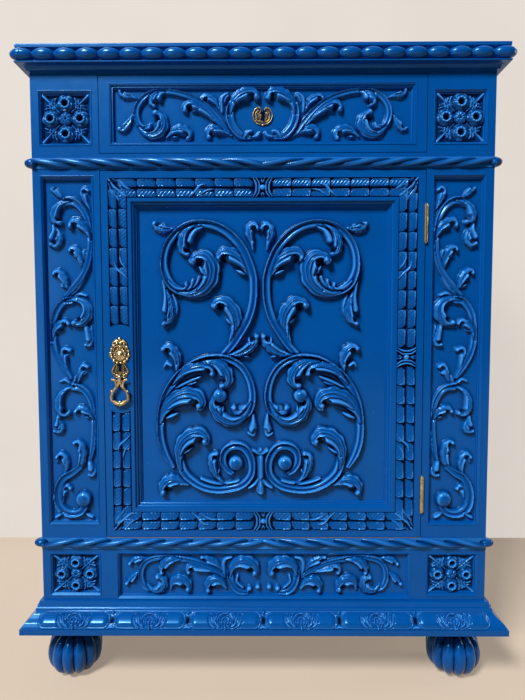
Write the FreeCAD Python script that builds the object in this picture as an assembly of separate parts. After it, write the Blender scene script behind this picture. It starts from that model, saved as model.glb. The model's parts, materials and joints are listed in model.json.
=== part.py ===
import FreeCAD, Part
import math
import os

# A floor-standing carved cabinet with one drawer above one door. Millimetres.
# X runs to the right, the front faces -Y, Z is up, and the floor is at zero.

# The whole cabinet
body_width = 632.0
body_depth = 395.0
pilaster_width = 92.1
cut_over = 2.0

# Heights, one above the other from the floor
foot_height = 84.5
base_height = 38.2
frieze_height = 78.3
sill_height = 13.0
door_opening_height = 515.0
divider_height = 22.0
drawer_opening_height = 104.5
top_rail_height = 14.5
top_core_height = 16.0
top_lip_height = 5.0

# Boards
pilaster_thickness = 25.0
side_thickness = 20.0
back_thickness = 8.0
rail_depth = 22.0
base_board_thickness = 18.0
bottom_board_thickness = 16.0
shelf_thickness = 16.0
frieze_thickness = 20.0

# Side frame and its floating panel
side_stile_width = 45.0
side_rail_margin = 32.0
side_panel_thickness = 8.0
side_panel_lap = 8.0
side_panel_setback = 6.0

# Sunk fields of the pilasters, the frieze board and the drawer front
field_depth = 7.0
field_bevel = 2.2
pilaster_inner_margin = 9.6
pilaster_outer_margin = 11.1
pilaster_low_margin = 19.5
pilaster_high_margin = 8.3
upper_square_low_margin = 11.5
upper_square_high_margin = 25.6
lower_square_low_margin = 6.8
lower_square_high_margin = 10.5
frieze_side_margin = 15.0
frieze_low_margin = 2.1
frieze_high_margin = 9.7

# Cornice with its row of beads
cornice_overlap = 10.0
cornice_foot_reach = 3.0
cornice_cove_reach = 12.0
cornice_cove_height = 6.5
cornice_fillet_reach = 14.5
cornice_fillet_height = 1.7
bead_seat_reach = 10.0
bead_count = 23
bead_side_count = 14
bead_height = 16.4
bead_reach = 20.0
bead_gap = 1.2
lip_reach = 13.5
lip_round = 1.5

# Rope mouldings
upper_rope_height = 14.0
upper_rope_reach = 8.0
upper_rope_drop = 6.0
lower_rope_reach = 9.0

# Base moulding
base_reach = 25.0
base_fillet_height = 8.5
base_cyma_height = 18.0
base_cyma_start = 23.0
base_step_reach = 8.0
base_step_height = 4.0
base_step_width = 2.7
base_swell_shares = (0.72, 0.45)

# Lobed ball feet
foot_radius = 41.0
foot_inset_x = 32.0
foot_inset_y = 34.0
foot_rear_inset = 43.0
lobe_count = 12
lobe_depth = 5.0

# Door
door_gap = 1.1
door_thickness = 22.0
door_margin = 9.5
band_width = 27.0
band_depth = 3.5
door_fillet_width = 3.5
door_panel_thickness = 8.0
door_panel_depth = 12.0
door_panel_lap = 8.0
panel_moulding_width = 10.0
panel_moulding_shares = (
    (0.0, 1.0), (0.0, 0.0), (0.12, 0.0), (0.18, 0.33), (0.42, 0.40), (0.72, 0.72),
    (0.86, 0.83), (1.0, 0.83), (1.0, 1.0))
band_shares = (
    (0.0, 1.0), (0.0, 0.7), (0.15, 0.1), (0.35, 0.1), (0.5, 0.6), (0.65, 0.1),
    (0.85, 0.1), (1.0, 0.7), (1.0, 1.0))
plain_pad_drop = 59.0
plain_pad_height = 115.0

# Drawer
drawer_gap = 0.9
drawer_front_thickness = 22.0
drawer_field_side_margin = 16.3
drawer_field_margin = 12.4
drawer_step = 2.0
drawer_step_width = 1.4
drawer_side_thickness = 10.0
drawer_side_height = 98.0
drawer_back_gap = 45.0
drawer_bottom_thickness = 6.0
drawer_bottom_lift = 8.0
drawer_groove = 5.0
drawer_side_clearance = 1.0
drawer_rest_gap = 0.3
runner_width = 30.0
runner_guide_height = 18.0
kicker_width = 30.0
kicker_gap = 1.2

# Shelf on two cleats
shelf_rise = 252.0
shelf_front_setback = 60.0
cleat_size = 18.0
cleat_length = 240.0

# Butt hinges at the right edge of the door
hinge_low_margin = 37.2
hinge_high_margin = 47.1
hinge_length = 50.5
knuckle_radius = 2.75
knuckle_count = 5
knuckle_gap = 0.3
hinge_proud = 2.2
hinge_leaf_thickness = 1.2
hinge_leaf_depth = 17.0
pin_radius = 1.2
pin_play = 0.08
pin_head_radius = 2.0
barrel_side_count = 10
leaf_clearance = 0.35

# Door lock, escutcheon and drop pull; rises and drops are measured from the keyhole
keyhole_rise = 241.9
keyhole_radius = 2.2
keyhole_slot_width = 2.6
keyhole_slot_length = 7.0
lock_width = 36.0
lock_height = 58.0
lock_depth = 15.0
lock_wall = 2.5
bolt_width = 7.0
bolt_height = 14.0
bolt_length = 27.0
bolt_play = 0.3
plate_thickness = 2.0
plate_top_rise = 45.5
plate_bottom_drop = 16.0
plate_width = 32.0
oval_rise = 24.5
oval_height = 34.0
oval_rim = 4.5
boss_radius = 4.4
boss_height = 6.0
boss_level_shares = ((1.0, 0.0), (1.0, 0.7), (0.8, 0.9), (0.4, 1.0))
boss_side_count = 12
oval_side_count = 18
scroll_radius = 7.5
scroll_spread = 6.5
crest_width = 15.0
crest_tip_share = 0.25
pull_width = 27.0
pull_drop = 54.5
pull_wire_radius = 1.9
pull_pivot_drop = 11.0
pull_eye_clearance = 0.4
pull_pin_radius = 1.1
pull_pin_play = 0.12
pull_eye_radius = 2.9
pull_eye_width = 4.4
pull_ear_gap = 0.4
pull_ear_width = 2.4
pull_ear_radius = 2.6
pivot_side_count = 16
wire_side_count = 8
pull_loop_count = 12

# Drawer escutcheon and lock
drawer_plate_radius = 14.0
drawer_plate_rim = 2.2
drawer_plate_thickness = 1.6
drawer_plate_shares = ((0.0, 0.0), (0.0, 0.6), (0.3, 1.0), (1.0, 1.0), (1.4, 0.6))

# Carving. Each stroke has widths along it, as shares of the field's width, and the line
# that it follows, as shares of the field's width and height from its top left corner.
door_carving_depth = 11.5
field_carving_depth = 6.8
stroke_sample_share = 0.65
ball_side_count = 8
door_stroke_shares = (
    ((0.010, 0.022, 0.028, 0.024, 0.020, 0.018, 0.020, 0.042, 0.045, 0.022),
     ((0.335, 0.495), (0.375, 0.46), (0.415, 0.405), (0.445, 0.34), (0.462, 0.27),
      (0.455, 0.20), (0.43, 0.14), (0.39, 0.09), (0.33, 0.053), (0.27, 0.04), (0.21, 0.044),
      (0.15, 0.068), (0.11, 0.105), (0.087, 0.15), (0.086, 0.20), (0.105, 0.245),
      (0.15, 0.278), (0.20, 0.285), (0.25, 0.268), (0.278, 0.225), (0.27, 0.18),
      (0.245, 0.161), (0.212, 0.168))),
    ((0.008, 0.035, 0.055, 0.048, 0.018),
     ((0.462, 0.24), (0.445, 0.20), (0.41, 0.165), (0.37, 0.147), (0.335, 0.147),
      (0.315, 0.162))),
    ((0.008, 0.026, 0.042, 0.045, 0.018),
     ((0.335, 0.495), (0.366, 0.467), (0.381, 0.431), (0.385, 0.39), (0.365, 0.34),
      (0.335, 0.314), (0.30, 0.318))),
    ((0.008, 0.025, 0.030, 0.014),
     ((0.22, 0.045), (0.185, 0.07), (0.168, 0.10), (0.172, 0.135), (0.195, 0.15))),
    ((0.006, 0.014, 0.026), ((0.225, 0.06), (0.208, 0.078), (0.20, 0.098))),
    ((0.006, 0.024, 0.026, 0.010),
     ((0.15, 0.064), (0.12, 0.064), (0.085, 0.06), (0.058, 0.043))),
    ((0.006, 0.012, 0.024), ((0.093, 0.25), (0.103, 0.29), (0.097, 0.335))),
    ((0.012, 0.030, 0.030, 0.020),
     ((0.105, 0.28), (0.122, 0.32), (0.122, 0.36), (0.09, 0.388))),
    ((0.010, 0.022, 0.020, 0.012),
     ((0.435, 0.085), (0.438, 0.066), (0.455, 0.054), (0.475, 0.055))),
    ((0.006, 0.020, 0.026, 0.018),
     ((0.345, 0.498), (0.40, 0.49), (0.44, 0.475), (0.465, 0.455), (0.473, 0.432))),
    ((0.014, 0.032, 0.036, 0.030, 0.018),
     ((0.145, 0.56), (0.15, 0.52), (0.14, 0.485), (0.115, 0.462), (0.09, 0.466))),
    ((0.010, 0.020, 0.022, 0.024, 0.034, 0.034, 0.022, 0.020, 0.022, 0.030, 0.034, 0.036),
     ((0.13, 0.885), (0.095, 0.84), (0.075, 0.78), (0.07, 0.71), (0.08, 0.64), (0.10, 0.59),
      (0.14, 0.55), (0.19, 0.52), (0.25, 0.503), (0.32, 0.498), (0.38, 0.508), (0.43, 0.54),
      (0.455, 0.59), (0.46, 0.64), (0.445, 0.69), (0.41, 0.718), (0.37, 0.724),
      (0.325, 0.71), (0.298, 0.68), (0.293, 0.65), (0.315, 0.625))),
    ((0.020, 0.030, 0.030, 0.026, 0.024, 0.024, 0.028, 0.034, 0.040, 0.020),
     ((0.374, 0.90), (0.345, 0.885), (0.338, 0.85), (0.355, 0.82), (0.39, 0.808),
      (0.43, 0.82), (0.455, 0.86), (0.455, 0.905), (0.43, 0.94), (0.38, 0.958),
      (0.32, 0.963), (0.25, 0.952), (0.195, 0.925), (0.16, 0.885), (0.15, 0.84),
      (0.165, 0.80), (0.20, 0.772), (0.25, 0.768))),
    ((0.020, 0.045, 0.050, 0.035, 0.012),
     ((0.24, 0.515), (0.29, 0.525), (0.33, 0.548), (0.347, 0.58), (0.332, 0.598))),
    ((0.010, 0.045, 0.060, 0.045, 0.014),
     ((0.082, 0.70), (0.11, 0.665), (0.15, 0.64), (0.20, 0.63), (0.238, 0.645))),
    ((0.012, 0.034, 0.040, 0.014),
     ((0.19, 0.945), (0.15, 0.932), (0.11, 0.925), (0.082, 0.96))),
    ((0.008, 0.020, 0.026, 0.020),
     ((0.33, 0.935), (0.30, 0.915), (0.285, 0.875), (0.29, 0.835))),
    ((0.006, 0.012, 0.026), ((0.46, 0.70), (0.463, 0.73), (0.457, 0.755))),
    ((0.006, 0.012, 0.014), ((0.478, 0.83), (0.488, 0.90), (0.486, 0.965))),
)
door_ball_shares = ((0.384, 0.867, 0.026), (0.5, 0.446, 0.016))
drawer_stroke_shares = (
    ((0.006, 0.012, 0.014, 0.011, 0.011, 0.013, 0.022, 0.024, 0.010),
     ((0.33, 0.30), (0.30, 0.20), (0.25, 0.12), (0.20, 0.07), (0.15, 0.07), (0.11, 0.14),
      (0.08, 0.28), (0.073, 0.45), (0.08, 0.65), (0.10, 0.83), (0.14, 0.90), (0.168, 0.83),
      (0.175, 0.68), (0.162, 0.54), (0.14, 0.45))),
    ((0.004, 0.014, 0.016, 0.006),
     ((0.17, 0.07), (0.14, 0.12), (0.132, 0.22), (0.140, 0.32))),
    ((0.005, 0.018, 0.020, 0.008),
     ((0.178, 0.85), (0.195, 0.76), (0.225, 0.74), (0.25, 0.83))),
    ((0.004, 0.014, 0.022, 0.022, 0.008),
     ((0.375, 0.65), (0.345, 0.45), (0.30, 0.30), (0.262, 0.26), (0.242, 0.34))),
    ((0.004, 0.014, 0.014, 0.006),
     ((0.36, 0.40), (0.345, 0.22), (0.32, 0.16), (0.298, 0.19))),
    ((0.006, 0.013, 0.016, 0.014, 0.012, 0.010),
     ((0.46, 0.86), (0.42, 0.83), (0.395, 0.65), (0.395, 0.42), (0.41, 0.20), (0.44, 0.11),
      (0.475, 0.13))),
    ((0.006, 0.016, 0.020, 0.008),
     ((0.405, 0.85), (0.365, 0.76), (0.335, 0.74), (0.313, 0.82))),
    ((0.004, 0.012, 0.006), ((0.075, 0.16), (0.05, 0.15), (0.03, 0.09))),
    ((0.005, 0.014, 0.016, 0.006),
     ((0.068, 0.50), (0.050, 0.60), (0.036, 0.68), (0.022, 0.75))),
    ((0.008, 0.012, 0.006), ((0.455, 0.82), (0.475, 0.74), (0.49, 0.82))),
)
frieze_stroke_shares = (
    ((0.006, 0.012, 0.014, 0.012, 0.013, 0.015, 0.012),
     ((0.36, 0.45), (0.31, 0.28), (0.26, 0.14), (0.20, 0.07), (0.15, 0.07), (0.10, 0.13),
      (0.075, 0.30), (0.07, 0.55), (0.085, 0.76), (0.112, 0.84), (0.14, 0.76))),
    ((0.004, 0.016, 0.018, 0.008),
     ((0.19, 0.08), (0.16, 0.15), (0.145, 0.35), (0.132, 0.55))),
    ((0.004, 0.016, 0.020, 0.008),
     ((0.35, 0.47), (0.30, 0.31), (0.262, 0.26), (0.24, 0.36))),
    ((0.005, 0.014, 0.018, 0.008),
     ((0.17, 0.74), (0.19, 0.65), (0.215, 0.64), (0.243, 0.82))),
    ((0.005, 0.014, 0.018, 0.008),
     ((0.365, 0.72), (0.34, 0.64), (0.315, 0.70), (0.305, 0.83))),
    ((0.006, 0.013, 0.016, 0.014, 0.012, 0.008),
     ((0.44, 0.90), (0.40, 0.83), (0.38, 0.60), (0.38, 0.35), (0.40, 0.15), (0.435, 0.09),
      (0.468, 0.20))),
    ((0.004, 0.013, 0.012), ((0.088, 0.13), (0.055, 0.12), (0.036, 0.20))),
    ((0.004, 0.013, 0.012), ((0.066, 0.48), (0.042, 0.56), (0.027, 0.70))),
    ((0.008, 0.012, 0.006), ((0.445, 0.84), (0.465, 0.72), (0.485, 0.80))),
)
pilaster_stroke_shares = (
    ((0.06, 0.10, 0.11, 0.09, 0.08, 0.08, 0.05),
     ((0.38, 0.335), (0.60, 0.305), (0.75, 0.268), (0.86, 0.22), (0.90, 0.17), (0.89, 0.12),
      (0.83, 0.085), (0.70, 0.064), (0.50, 0.058), (0.30, 0.064), (0.19, 0.082),
      (0.17, 0.102), (0.25, 0.117))),
    ((0.04, 0.15, 0.20, 0.08),
     ((0.90, 0.155), (0.83, 0.133), (0.70, 0.120), (0.55, 0.124))),
    ((0.04, 0.16, 0.20, 0.08),
     ((0.78, 0.272), (0.77, 0.23), (0.70, 0.200), (0.55, 0.195))),
    ((0.04, 0.14, 0.16, 0.08),
     ((0.33, 0.335), (0.34, 0.30), (0.30, 0.275), (0.17, 0.268))),
    ((0.04, 0.08, 0.16), ((0.17, 0.11), (0.20, 0.135), (0.14, 0.157))),
    ((0.04, 0.12, 0.06), ((0.42, 0.052), (0.28, 0.042), (0.15, 0.028))),
    ((0.04, 0.12, 0.06), ((0.84, 0.075), (0.83, 0.048), (0.90, 0.030))),
    ((0.06, 0.10, 0.12, 0.12, 0.10, 0.11, 0.20, 0.18, 0.08),
     ((0.50, 0.570), (0.30, 0.530), (0.17, 0.49), (0.10, 0.44), (0.11, 0.39), (0.20, 0.362),
      (0.38, 0.346), (0.60, 0.348), (0.78, 0.365), (0.81, 0.385), (0.73, 0.402),
      (0.57, 0.406))),
    ((0.04, 0.15, 0.18, 0.08),
     ((0.12, 0.44), (0.17, 0.418), (0.30, 0.406), (0.42, 0.412))),
    ((0.04, 0.14, 0.16, 0.07),
     ((0.40, 0.550), (0.34, 0.51), (0.39, 0.486), (0.50, 0.483))),
    ((0.04, 0.09, 0.16), ((0.83, 0.395), (0.87, 0.425), (0.86, 0.455))),
    ((0.04, 0.15, 0.17, 0.08),
     ((0.63, 0.585), (0.70, 0.555), (0.76, 0.538), (0.86, 0.535))),
    ((0.05, 0.11, 0.12, 0.12, 0.10, 0.11, 0.14, 0.08),
     ((0.80, 0.84), (0.88, 0.76), (0.90, 0.70), (0.87, 0.65), (0.77, 0.612), (0.55, 0.596),
      (0.32, 0.606), (0.20, 0.63), (0.19, 0.652), (0.27, 0.670), (0.42, 0.668))),
    ((0.04, 0.15, 0.18, 0.08),
     ((0.90, 0.69), (0.83, 0.672), (0.72, 0.668), (0.60, 0.674))),
    ((0.04, 0.09, 0.16), ((0.20, 0.66), (0.20, 0.68), (0.14, 0.70))),
    ((0.05, 0.14, 0.16, 0.14, 0.12, 0.12, 0.12, 0.16),
     ((0.55, 0.767), (0.64, 0.766), (0.70, 0.79), (0.68, 0.822), (0.55, 0.845),
      (0.35, 0.862), (0.20, 0.885), (0.14, 0.92), (0.18, 0.95), (0.32, 0.972),
      (0.50, 0.975), (0.68, 0.962), (0.70, 0.940))),
    ((0.04, 0.13, 0.14, 0.07),
     ((0.22, 0.865), (0.30, 0.835), (0.27, 0.806), (0.14, 0.80))),
    ((0.04, 0.12, 0.12, 0.06),
     ((0.24, 0.945), (0.27, 0.915), (0.34, 0.898), (0.43, 0.903))),
)
rosette_flower_share = 0.17
rosette_spread_share = 0.285
rosette_heart_share = 0.12
rosette_hollow_share = 0.06
rosette_top_share = 0.7
rosette_side_count = 6

# Places worked out from the sizes above
half_body = body_width / 2
front_y = (base_reach - body_depth) / 2
back_y = (base_reach + body_depth) / 2
half_opening = half_body - pilaster_width
base_bottom = foot_height
base_top = base_bottom + base_height
sill_bottom = base_top + frieze_height
sill_top = sill_bottom + sill_height
divider_bottom = sill_top + door_opening_height
divider_top = divider_bottom + divider_height
drawer_ceiling = divider_top + drawer_opening_height
core_bottom = drawer_ceiling + top_rail_height
lip_bottom = core_bottom + top_core_height
cabinet_top = lip_bottom + top_lip_height
cornice_bottom = core_bottom - cornice_overlap
side_bottom = base_bottom + base_board_thickness
side_inner = half_body - side_thickness
back_inner = back_y - back_thickness
pilaster_back = front_y + pilaster_thickness
field_floor = front_y + field_depth
foot_x = half_body - foot_inset_x
shelf_underside = sill_top + shelf_rise
door_half = half_opening - door_gap
door_bottom = sill_top + door_gap
door_top = divider_bottom - door_gap
frame_width = door_margin + band_width + door_fillet_width
hinge_heights = (door_bottom + hinge_low_margin,
                 door_top - hinge_high_margin - hinge_length)
hinge_axis_x = half_opening - door_gap / 2
hinge_axis_y = front_y - hinge_proud
band_middle = door_half - door_margin - band_width / 2
keyhole_height = door_bottom + keyhole_rise
oval_centre_height = keyhole_height + oval_rise
pull_pivot_height = keyhole_height - pull_pivot_drop
pull_pivot_reach = plate_thickness + pull_eye_clearance + pull_eye_radius
drawer_half = half_opening - drawer_gap
drawer_low = divider_top + drawer_gap
drawer_high = drawer_ceiling - drawer_gap
drawer_floor = divider_top + drawer_rest_gap
drawer_back_face = back_inner - drawer_back_gap
drawer_keyhole_height = (drawer_low + drawer_high) / 2
side_outer = drawer_half - drawer_side_clearance


def vector(x, y, z):
    return FreeCAD.Vector(x, y, z)


def block(x0, x1, y0, y1, z0, z1):
    """A square-edged board between two corners."""
    return Part.makeBox(x1 - x0, y1 - y0, z1 - z0, vector(x0, y0, z0))


def closed_wire(points):
    return Part.makePolygon(list(points) + [points[0]])


def prism(points, direction):
    """A straight extrusion of one closed outline."""
    return Part.Face(closed_wire(points)).extrude(direction)


def mirrored(shape):
    """The same piece on the other side of the cabinet."""
    return shape.mirror(vector(0, 0, 0), vector(1, 0, 0))


def one_solid(shape):
    """The single solid inside a result of a boolean."""
    return shape.Solids[0] if len(shape.Solids) == 1 else shape


def sunk_field(x0, x1, z0, z1, face_y, depth, bevel):
    """The body of a field cut into a face, with sloping edges and an overrun in front."""
    flare = bevel * cut_over / depth
    front = face_y - cut_over
    floor = face_y + depth
    outer = [vector(x0 - flare, front, z0 - flare), vector(x1 + flare, front, z0 - flare),
             vector(x1 + flare, front, z1 + flare), vector(x0 - flare, front, z1 + flare)]
    inner = [vector(x0 + bevel, floor, z0 + bevel), vector(x1 - bevel, floor, z0 + bevel),
             vector(x1 - bevel, floor, z1 - bevel), vector(x0 + bevel, floor, z1 - bevel)]
    return Part.makeLoft([closed_wire(outer), closed_wire(inner)], True, True)


def outline_face(place, start, legs):
    """A face from a start point and legs: one point is a line, two points are an arc."""
    edges = []
    here = place(*start)
    for leg in legs:
        end = place(*leg[-1])
        if len(leg) == 1:
            edges.append(Part.LineSegment(here, end).toShape())
        else:
            edges.append(Part.Arc(here, place(*leg[0]), end).toShape())
        here = end
    edges.append(Part.LineSegment(here, place(*start)).toShape())
    return Part.Face(Part.Wire(edges))


def mitre_prism(side):
    """The space outside the body that one side's moulding may fill, mitred at 45 degrees."""
    reach = base_reach + cut_over
    if side == "front":
        corners = [(-half_body - reach, front_y - reach), (half_body + reach, front_y - reach),
                   (half_body, front_y), (-half_body, front_y)]
    else:
        corners = [(half_body, front_y), (half_body + reach, front_y - reach),
                   (half_body + reach, back_y), (half_body, back_y)]
    space = prism([vector(x, y, 0) for x, y in corners], vector(0, 0, cabinet_top))
    return mirrored(space) if side == "left" else space


def moulding(side, start, legs, ornaments=()):
    """One length of a moulding whose outline is given as reach from the body and height."""
    reach = base_reach + cut_over
    if side == "front":
        def place(out, height):
            return vector(-half_body - reach, front_y - out, height)
        run = vector(body_width + 2 * reach, 0, 0)
    else:
        def place(out, height):
            return vector(half_body + out, front_y - reach, height)
        run = vector(0, body_depth + reach, 0)
    length = outline_face(place, start, legs).extrude(run)
    if side == "left":
        length = mirrored(length)
    for ornament in ornaments:
        length = length.fuse(ornament)
    return one_solid(length.common(mitre_prism(side)).removeSplitter())


def faceted(rings):
    """A solid with flat faces between rings of points, closed by the first and last ring."""
    faces = [Part.Face(closed_wire(rings[0])), Part.Face(closed_wire(rings[-1]))]
    for lower, upper in zip(rings, rings[1:]):
        for index in range(len(lower)):
            after = (index + 1) % len(lower)
            corners = [lower[index], lower[after], upper[after], upper[index]]
            faces.append(Part.Face(closed_wire(corners)))
    solid = Part.makeSolid(Part.makeShell(faces))
    if solid.Volume < 0:
        solid.reverse()
    return solid


def turned(levels, centre, axis, sides):
    """A turned solid with a chosen number of flats; levels are radius and height."""
    across = vector(1, 0, 0)
    along = axis.cross(across)
    rings = []
    for radius, height in levels:
        ring = []
        for index in range(sides):
            turn = 2 * math.pi * index / sides
            spoke = across * math.cos(turn) + along * math.sin(turn)
            ring.append(centre + spoke * radius + axis * height)
        rings.append(ring)
    return faceted(rings)


# Carcass

def make_top_board():
    lip_half = half_body + lip_reach
    lip_front = front_y - lip_reach
    lip = block(-lip_half, lip_half, lip_front, back_y, lip_bottom, cabinet_top)
    edges = [edge for edge in lip.Edges
             if edge.BoundBox.ZMin > lip_bottom + lip_round
             and edge.BoundBox.YMin < back_y - lip_round]
    lip = lip.makeFillet(min(lip_round, top_lip_height / 2), edges)
    core = block(-half_body, half_body, front_y, back_y, core_bottom, lip_bottom)
    return lip.fuse(core).removeSplitter()


def make_bead(side, along, half_length):
    """Half of an eight-sided bead that stands on its seat and shrinks to both ends."""
    ring_shares = ((-1.0, 0.3), (-0.5, 0.95), (0.5, 0.95), (1.0, 0.3))
    corner_angles = (-90, -45, 0, 45, 90)
    seat_bottom = cornice_bottom + cornice_cove_height + cornice_fillet_height
    centre_height = (seat_bottom + lip_bottom) / 2
    rings = []
    for place_share, size_share in ring_shares:
        ring = []
        for angle in corner_angles:
            turn = math.radians(angle)
            reach = bead_seat_reach
            reach += (bead_reach - bead_seat_reach) * size_share * math.cos(turn)
            height = centre_height + bead_height / 2 * size_share * math.sin(turn)
            run = along + half_length * place_share
            if side == "front":
                ring.append(vector(run, front_y - reach, height))
            else:
                ring.append(vector(half_body + reach, run, height))
        rings.append(ring)
    bead = faceted(rings)
    return mirrored(bead) if side == "left" else bead


def make_cornice(side):
    cove_top = cornice_bottom + cornice_cove_height
    fillet_top = cove_top + cornice_fillet_height
    cove_middle = ((cornice_foot_reach + cornice_cove_reach) / 2 - cornice_fillet_height / 2,
                   (cornice_bottom + cove_top) / 2 + cornice_fillet_height / 2)
    start = (0, cornice_bottom)
    legs = [[(cornice_foot_reach, cornice_bottom)],
            [cove_middle, (cornice_cove_reach, cove_top)],
            [(cornice_fillet_reach, cove_top)],
            [(cornice_fillet_reach, fillet_top)],
            [(bead_seat_reach, fillet_top)],
            [(bead_seat_reach, lip_bottom)],
            [(0, lip_bottom)]]
    if side == "front":
        count = bead_count
        pitch = (body_width + 2 * bead_reach) / count
        first = -half_body - bead_reach + pitch / 2
    else:
        count = bead_side_count
        pitch = (body_depth + bead_reach) / count
        first = front_y - bead_reach + pitch / 2
    beads = [make_bead(side, first + pitch * index, (pitch - bead_gap) / 2)
             for index in range(count)]
    return moulding(side, start, legs, beads)


def make_rope(side, bottom, height, reach):
    return moulding(side, (0, bottom),
                    [[(reach / 2, bottom)],
                     [(reach, bottom + height / 2), (reach / 2, bottom + height)],
                     [(0, bottom + height)]])


def make_base_moulding(side):
    fillet_top = base_bottom + base_fillet_height
    cyma_top = fillet_top + base_cyma_height
    out_share, up_share = base_swell_shares
    swell = (base_step_reach + (base_cyma_start - base_step_reach) * out_share,
             fillet_top + base_cyma_height * up_share)
    step_one = cyma_top + base_step_height
    step_two = step_one + base_step_height
    second_reach = base_step_reach - base_step_width
    third_reach = second_reach - base_step_width
    start = (0, base_bottom)
    legs = [[(base_reach, base_bottom)],
            [(base_reach, fillet_top)],
            [(base_cyma_start, fillet_top)],
            [swell, (base_step_reach, cyma_top)],
            [(base_step_reach, step_one)],
            [(second_reach, step_one)],
            [(second_reach, step_two)],
            [(third_reach, step_two)],
            [(third_reach, base_top)],
            [(0, base_top)]]
    return moulding(side, start, legs)


def field_places():
    """Left, right, bottom and top of the three sunk fields of the right pilaster."""
    left = half_opening + pilaster_inner_margin
    right = half_body - pilaster_outer_margin
    return {"main": (left, right, sill_top + pilaster_low_margin,
                     divider_bottom - pilaster_high_margin),
            "upper": (left, right, divider_top + upper_square_low_margin,
                      cornice_bottom - upper_square_high_margin),
            "lower": (left, right, base_top + lower_square_low_margin,
                      sill_bottom - lower_square_high_margin)}


def frieze_field():
    half = half_opening - frieze_side_margin
    return -half, half, base_top + frieze_low_margin, sill_bottom - frieze_high_margin


def drawer_field():
    half = drawer_half - drawer_field_side_margin
    return -half, half, drawer_low + drawer_field_margin, drawer_high - drawer_field_margin


def make_right_pilaster():
    post = block(half_opening, half_body, front_y, pilaster_back, side_bottom, core_bottom)
    for left, right, bottom, top in field_places().values():
        post = post.cut(sunk_field(left, right, bottom, top, front_y, field_depth, field_bevel))
    for bottom in hinge_heights:
        post = post.cut(block(half_opening - cut_over, half_opening + hinge_leaf_thickness,
                              front_y - cut_over, front_y + hinge_leaf_depth,
                              bottom, bottom + hinge_length))
        post = post.cut(barrel(knuckle_radius + leaf_clearance, bottom,
                               bottom + hinge_length))
    return one_solid(post)


def make_left_pilaster():
    post = mirrored(block(half_opening, half_body, front_y, pilaster_back,
                          side_bottom, core_bottom))
    for left, right, bottom, top in field_places().values():
        field = sunk_field(left, right, bottom, top, front_y, field_depth, field_bevel)
        post = post.cut(mirrored(field))
    return one_solid(post)


def side_opening():
    """Front, back, bottom and top of the opening in a side frame."""
    return (pilaster_back + side_stile_width, back_y - side_stile_width,
            sill_top + side_rail_margin, divider_bottom - side_rail_margin)


def make_side_frame():
    front, back, bottom, top = side_opening()
    frame = block(side_inner, half_body, pilaster_back, back_y, side_bottom, core_bottom)
    opening = block(side_inner - cut_over, half_body + cut_over, front, back, bottom, top)
    rebate_floor = half_body - side_panel_setback
    rebate = block(side_inner - cut_over, rebate_floor, front - side_panel_lap,
                   back + side_panel_lap, bottom - side_panel_lap, top + side_panel_lap)
    return one_solid(frame.cut(opening).cut(rebate))


def make_side_panel():
    front, back, bottom, top = side_opening()
    outer = half_body - side_panel_setback
    return block(outer - side_panel_thickness, outer, front - side_panel_lap,
                 back + side_panel_lap, bottom - side_panel_lap, top + side_panel_lap)


def make_frieze_panel():
    board = block(-half_opening, half_opening, front_y, front_y + frieze_thickness,
                  side_bottom, sill_top - bottom_board_thickness)
    field = sunk_field(*frieze_field(), front_y, field_depth, field_bevel)
    return one_solid(board.cut(field))


def make_bottom_board():
    bottom = sill_top - bottom_board_thickness
    rear = block(-side_inner, side_inner, pilaster_back, back_inner, bottom, sill_top)
    tongue = block(-half_opening, half_opening, front_y, pilaster_back, bottom, sill_top)
    return one_solid(rear.fuse(tongue).removeSplitter())


def make_runner():
    """Right runner: the drawer side rests on its ledge and runs along its raised guide."""
    guide_face = drawer_half
    inner = guide_face - runner_width
    outline = [vector(inner, pilaster_back, divider_bottom),
               vector(side_inner, pilaster_back, divider_bottom),
               vector(side_inner, pilaster_back, divider_top + runner_guide_height),
               vector(guide_face, pilaster_back, divider_top + runner_guide_height),
               vector(guide_face, pilaster_back, divider_top),
               vector(inner, pilaster_back, divider_top)]
    return prism(outline, vector(0, back_inner - pilaster_back, 0))


def make_kickers():
    """Two strips under the top that keep the drawer level when it is pulled out."""
    inner = half_opening - kicker_width
    bottom = drawer_floor + drawer_side_height + kicker_gap
    right = block(inner, half_opening, front_y + rail_depth, back_inner, bottom, core_bottom)
    return Part.makeCompound([mirrored(right), right])


def make_cleats():
    start = (pilaster_back + back_inner - cleat_length) / 2
    right = block(side_inner - cleat_size, side_inner, start, start + cleat_length,
                  shelf_underside - cleat_size, shelf_underside)
    return Part.makeCompound([mirrored(right), right])


def make_shelf():
    return block(-side_inner, side_inner, front_y + shelf_front_setback, back_inner,
                 shelf_underside, shelf_underside + shelf_thickness)


def make_foot(x, y):
    """A squashed ball with upright lobes, flat where it stands and necked at the top."""
    level_shares = ((0.0, 0.45), (0.11, 0.76), (0.4, 1.0), (0.66, 0.94), (0.86, 0.60),
                    (1.0, 0.5))
    points_per_lobe = 3
    rings = []
    for height_share, radius_share in level_shares:
        ring = []
        for index in range(lobe_count * points_per_lobe):
            turn = 2 * math.pi * index / (lobe_count * points_per_lobe)
            radius = foot_radius * radius_share
            if index % points_per_lobe == 0:
                radius -= lobe_depth * radius_share
            ring.append(vector(x + radius * math.cos(turn), y + radius * math.sin(turn),
                               foot_height * height_share))
        rings.append(ring)
    return faceted(rings)


# Hinges

def barrel(radius, low, high):
    """A round bar on the hinge axis."""
    foot = vector(hinge_axis_x, hinge_axis_y, 0)
    return turned([(radius, low), (radius, high)], foot, vector(0, 0, 1), barrel_side_count)


def knuckle_spans(bottom, on_door):
    """Bottom and top of each knuckle of one leaf, door knuckles being the even ones."""
    pitch = hinge_length / knuckle_count
    spans = []
    for index in range(knuckle_count):
        if (index % 2 == 1) == on_door:
            low = bottom + pitch * index + knuckle_gap / 2
            spans.append((low, low + pitch - knuckle_gap))
    return spans


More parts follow.
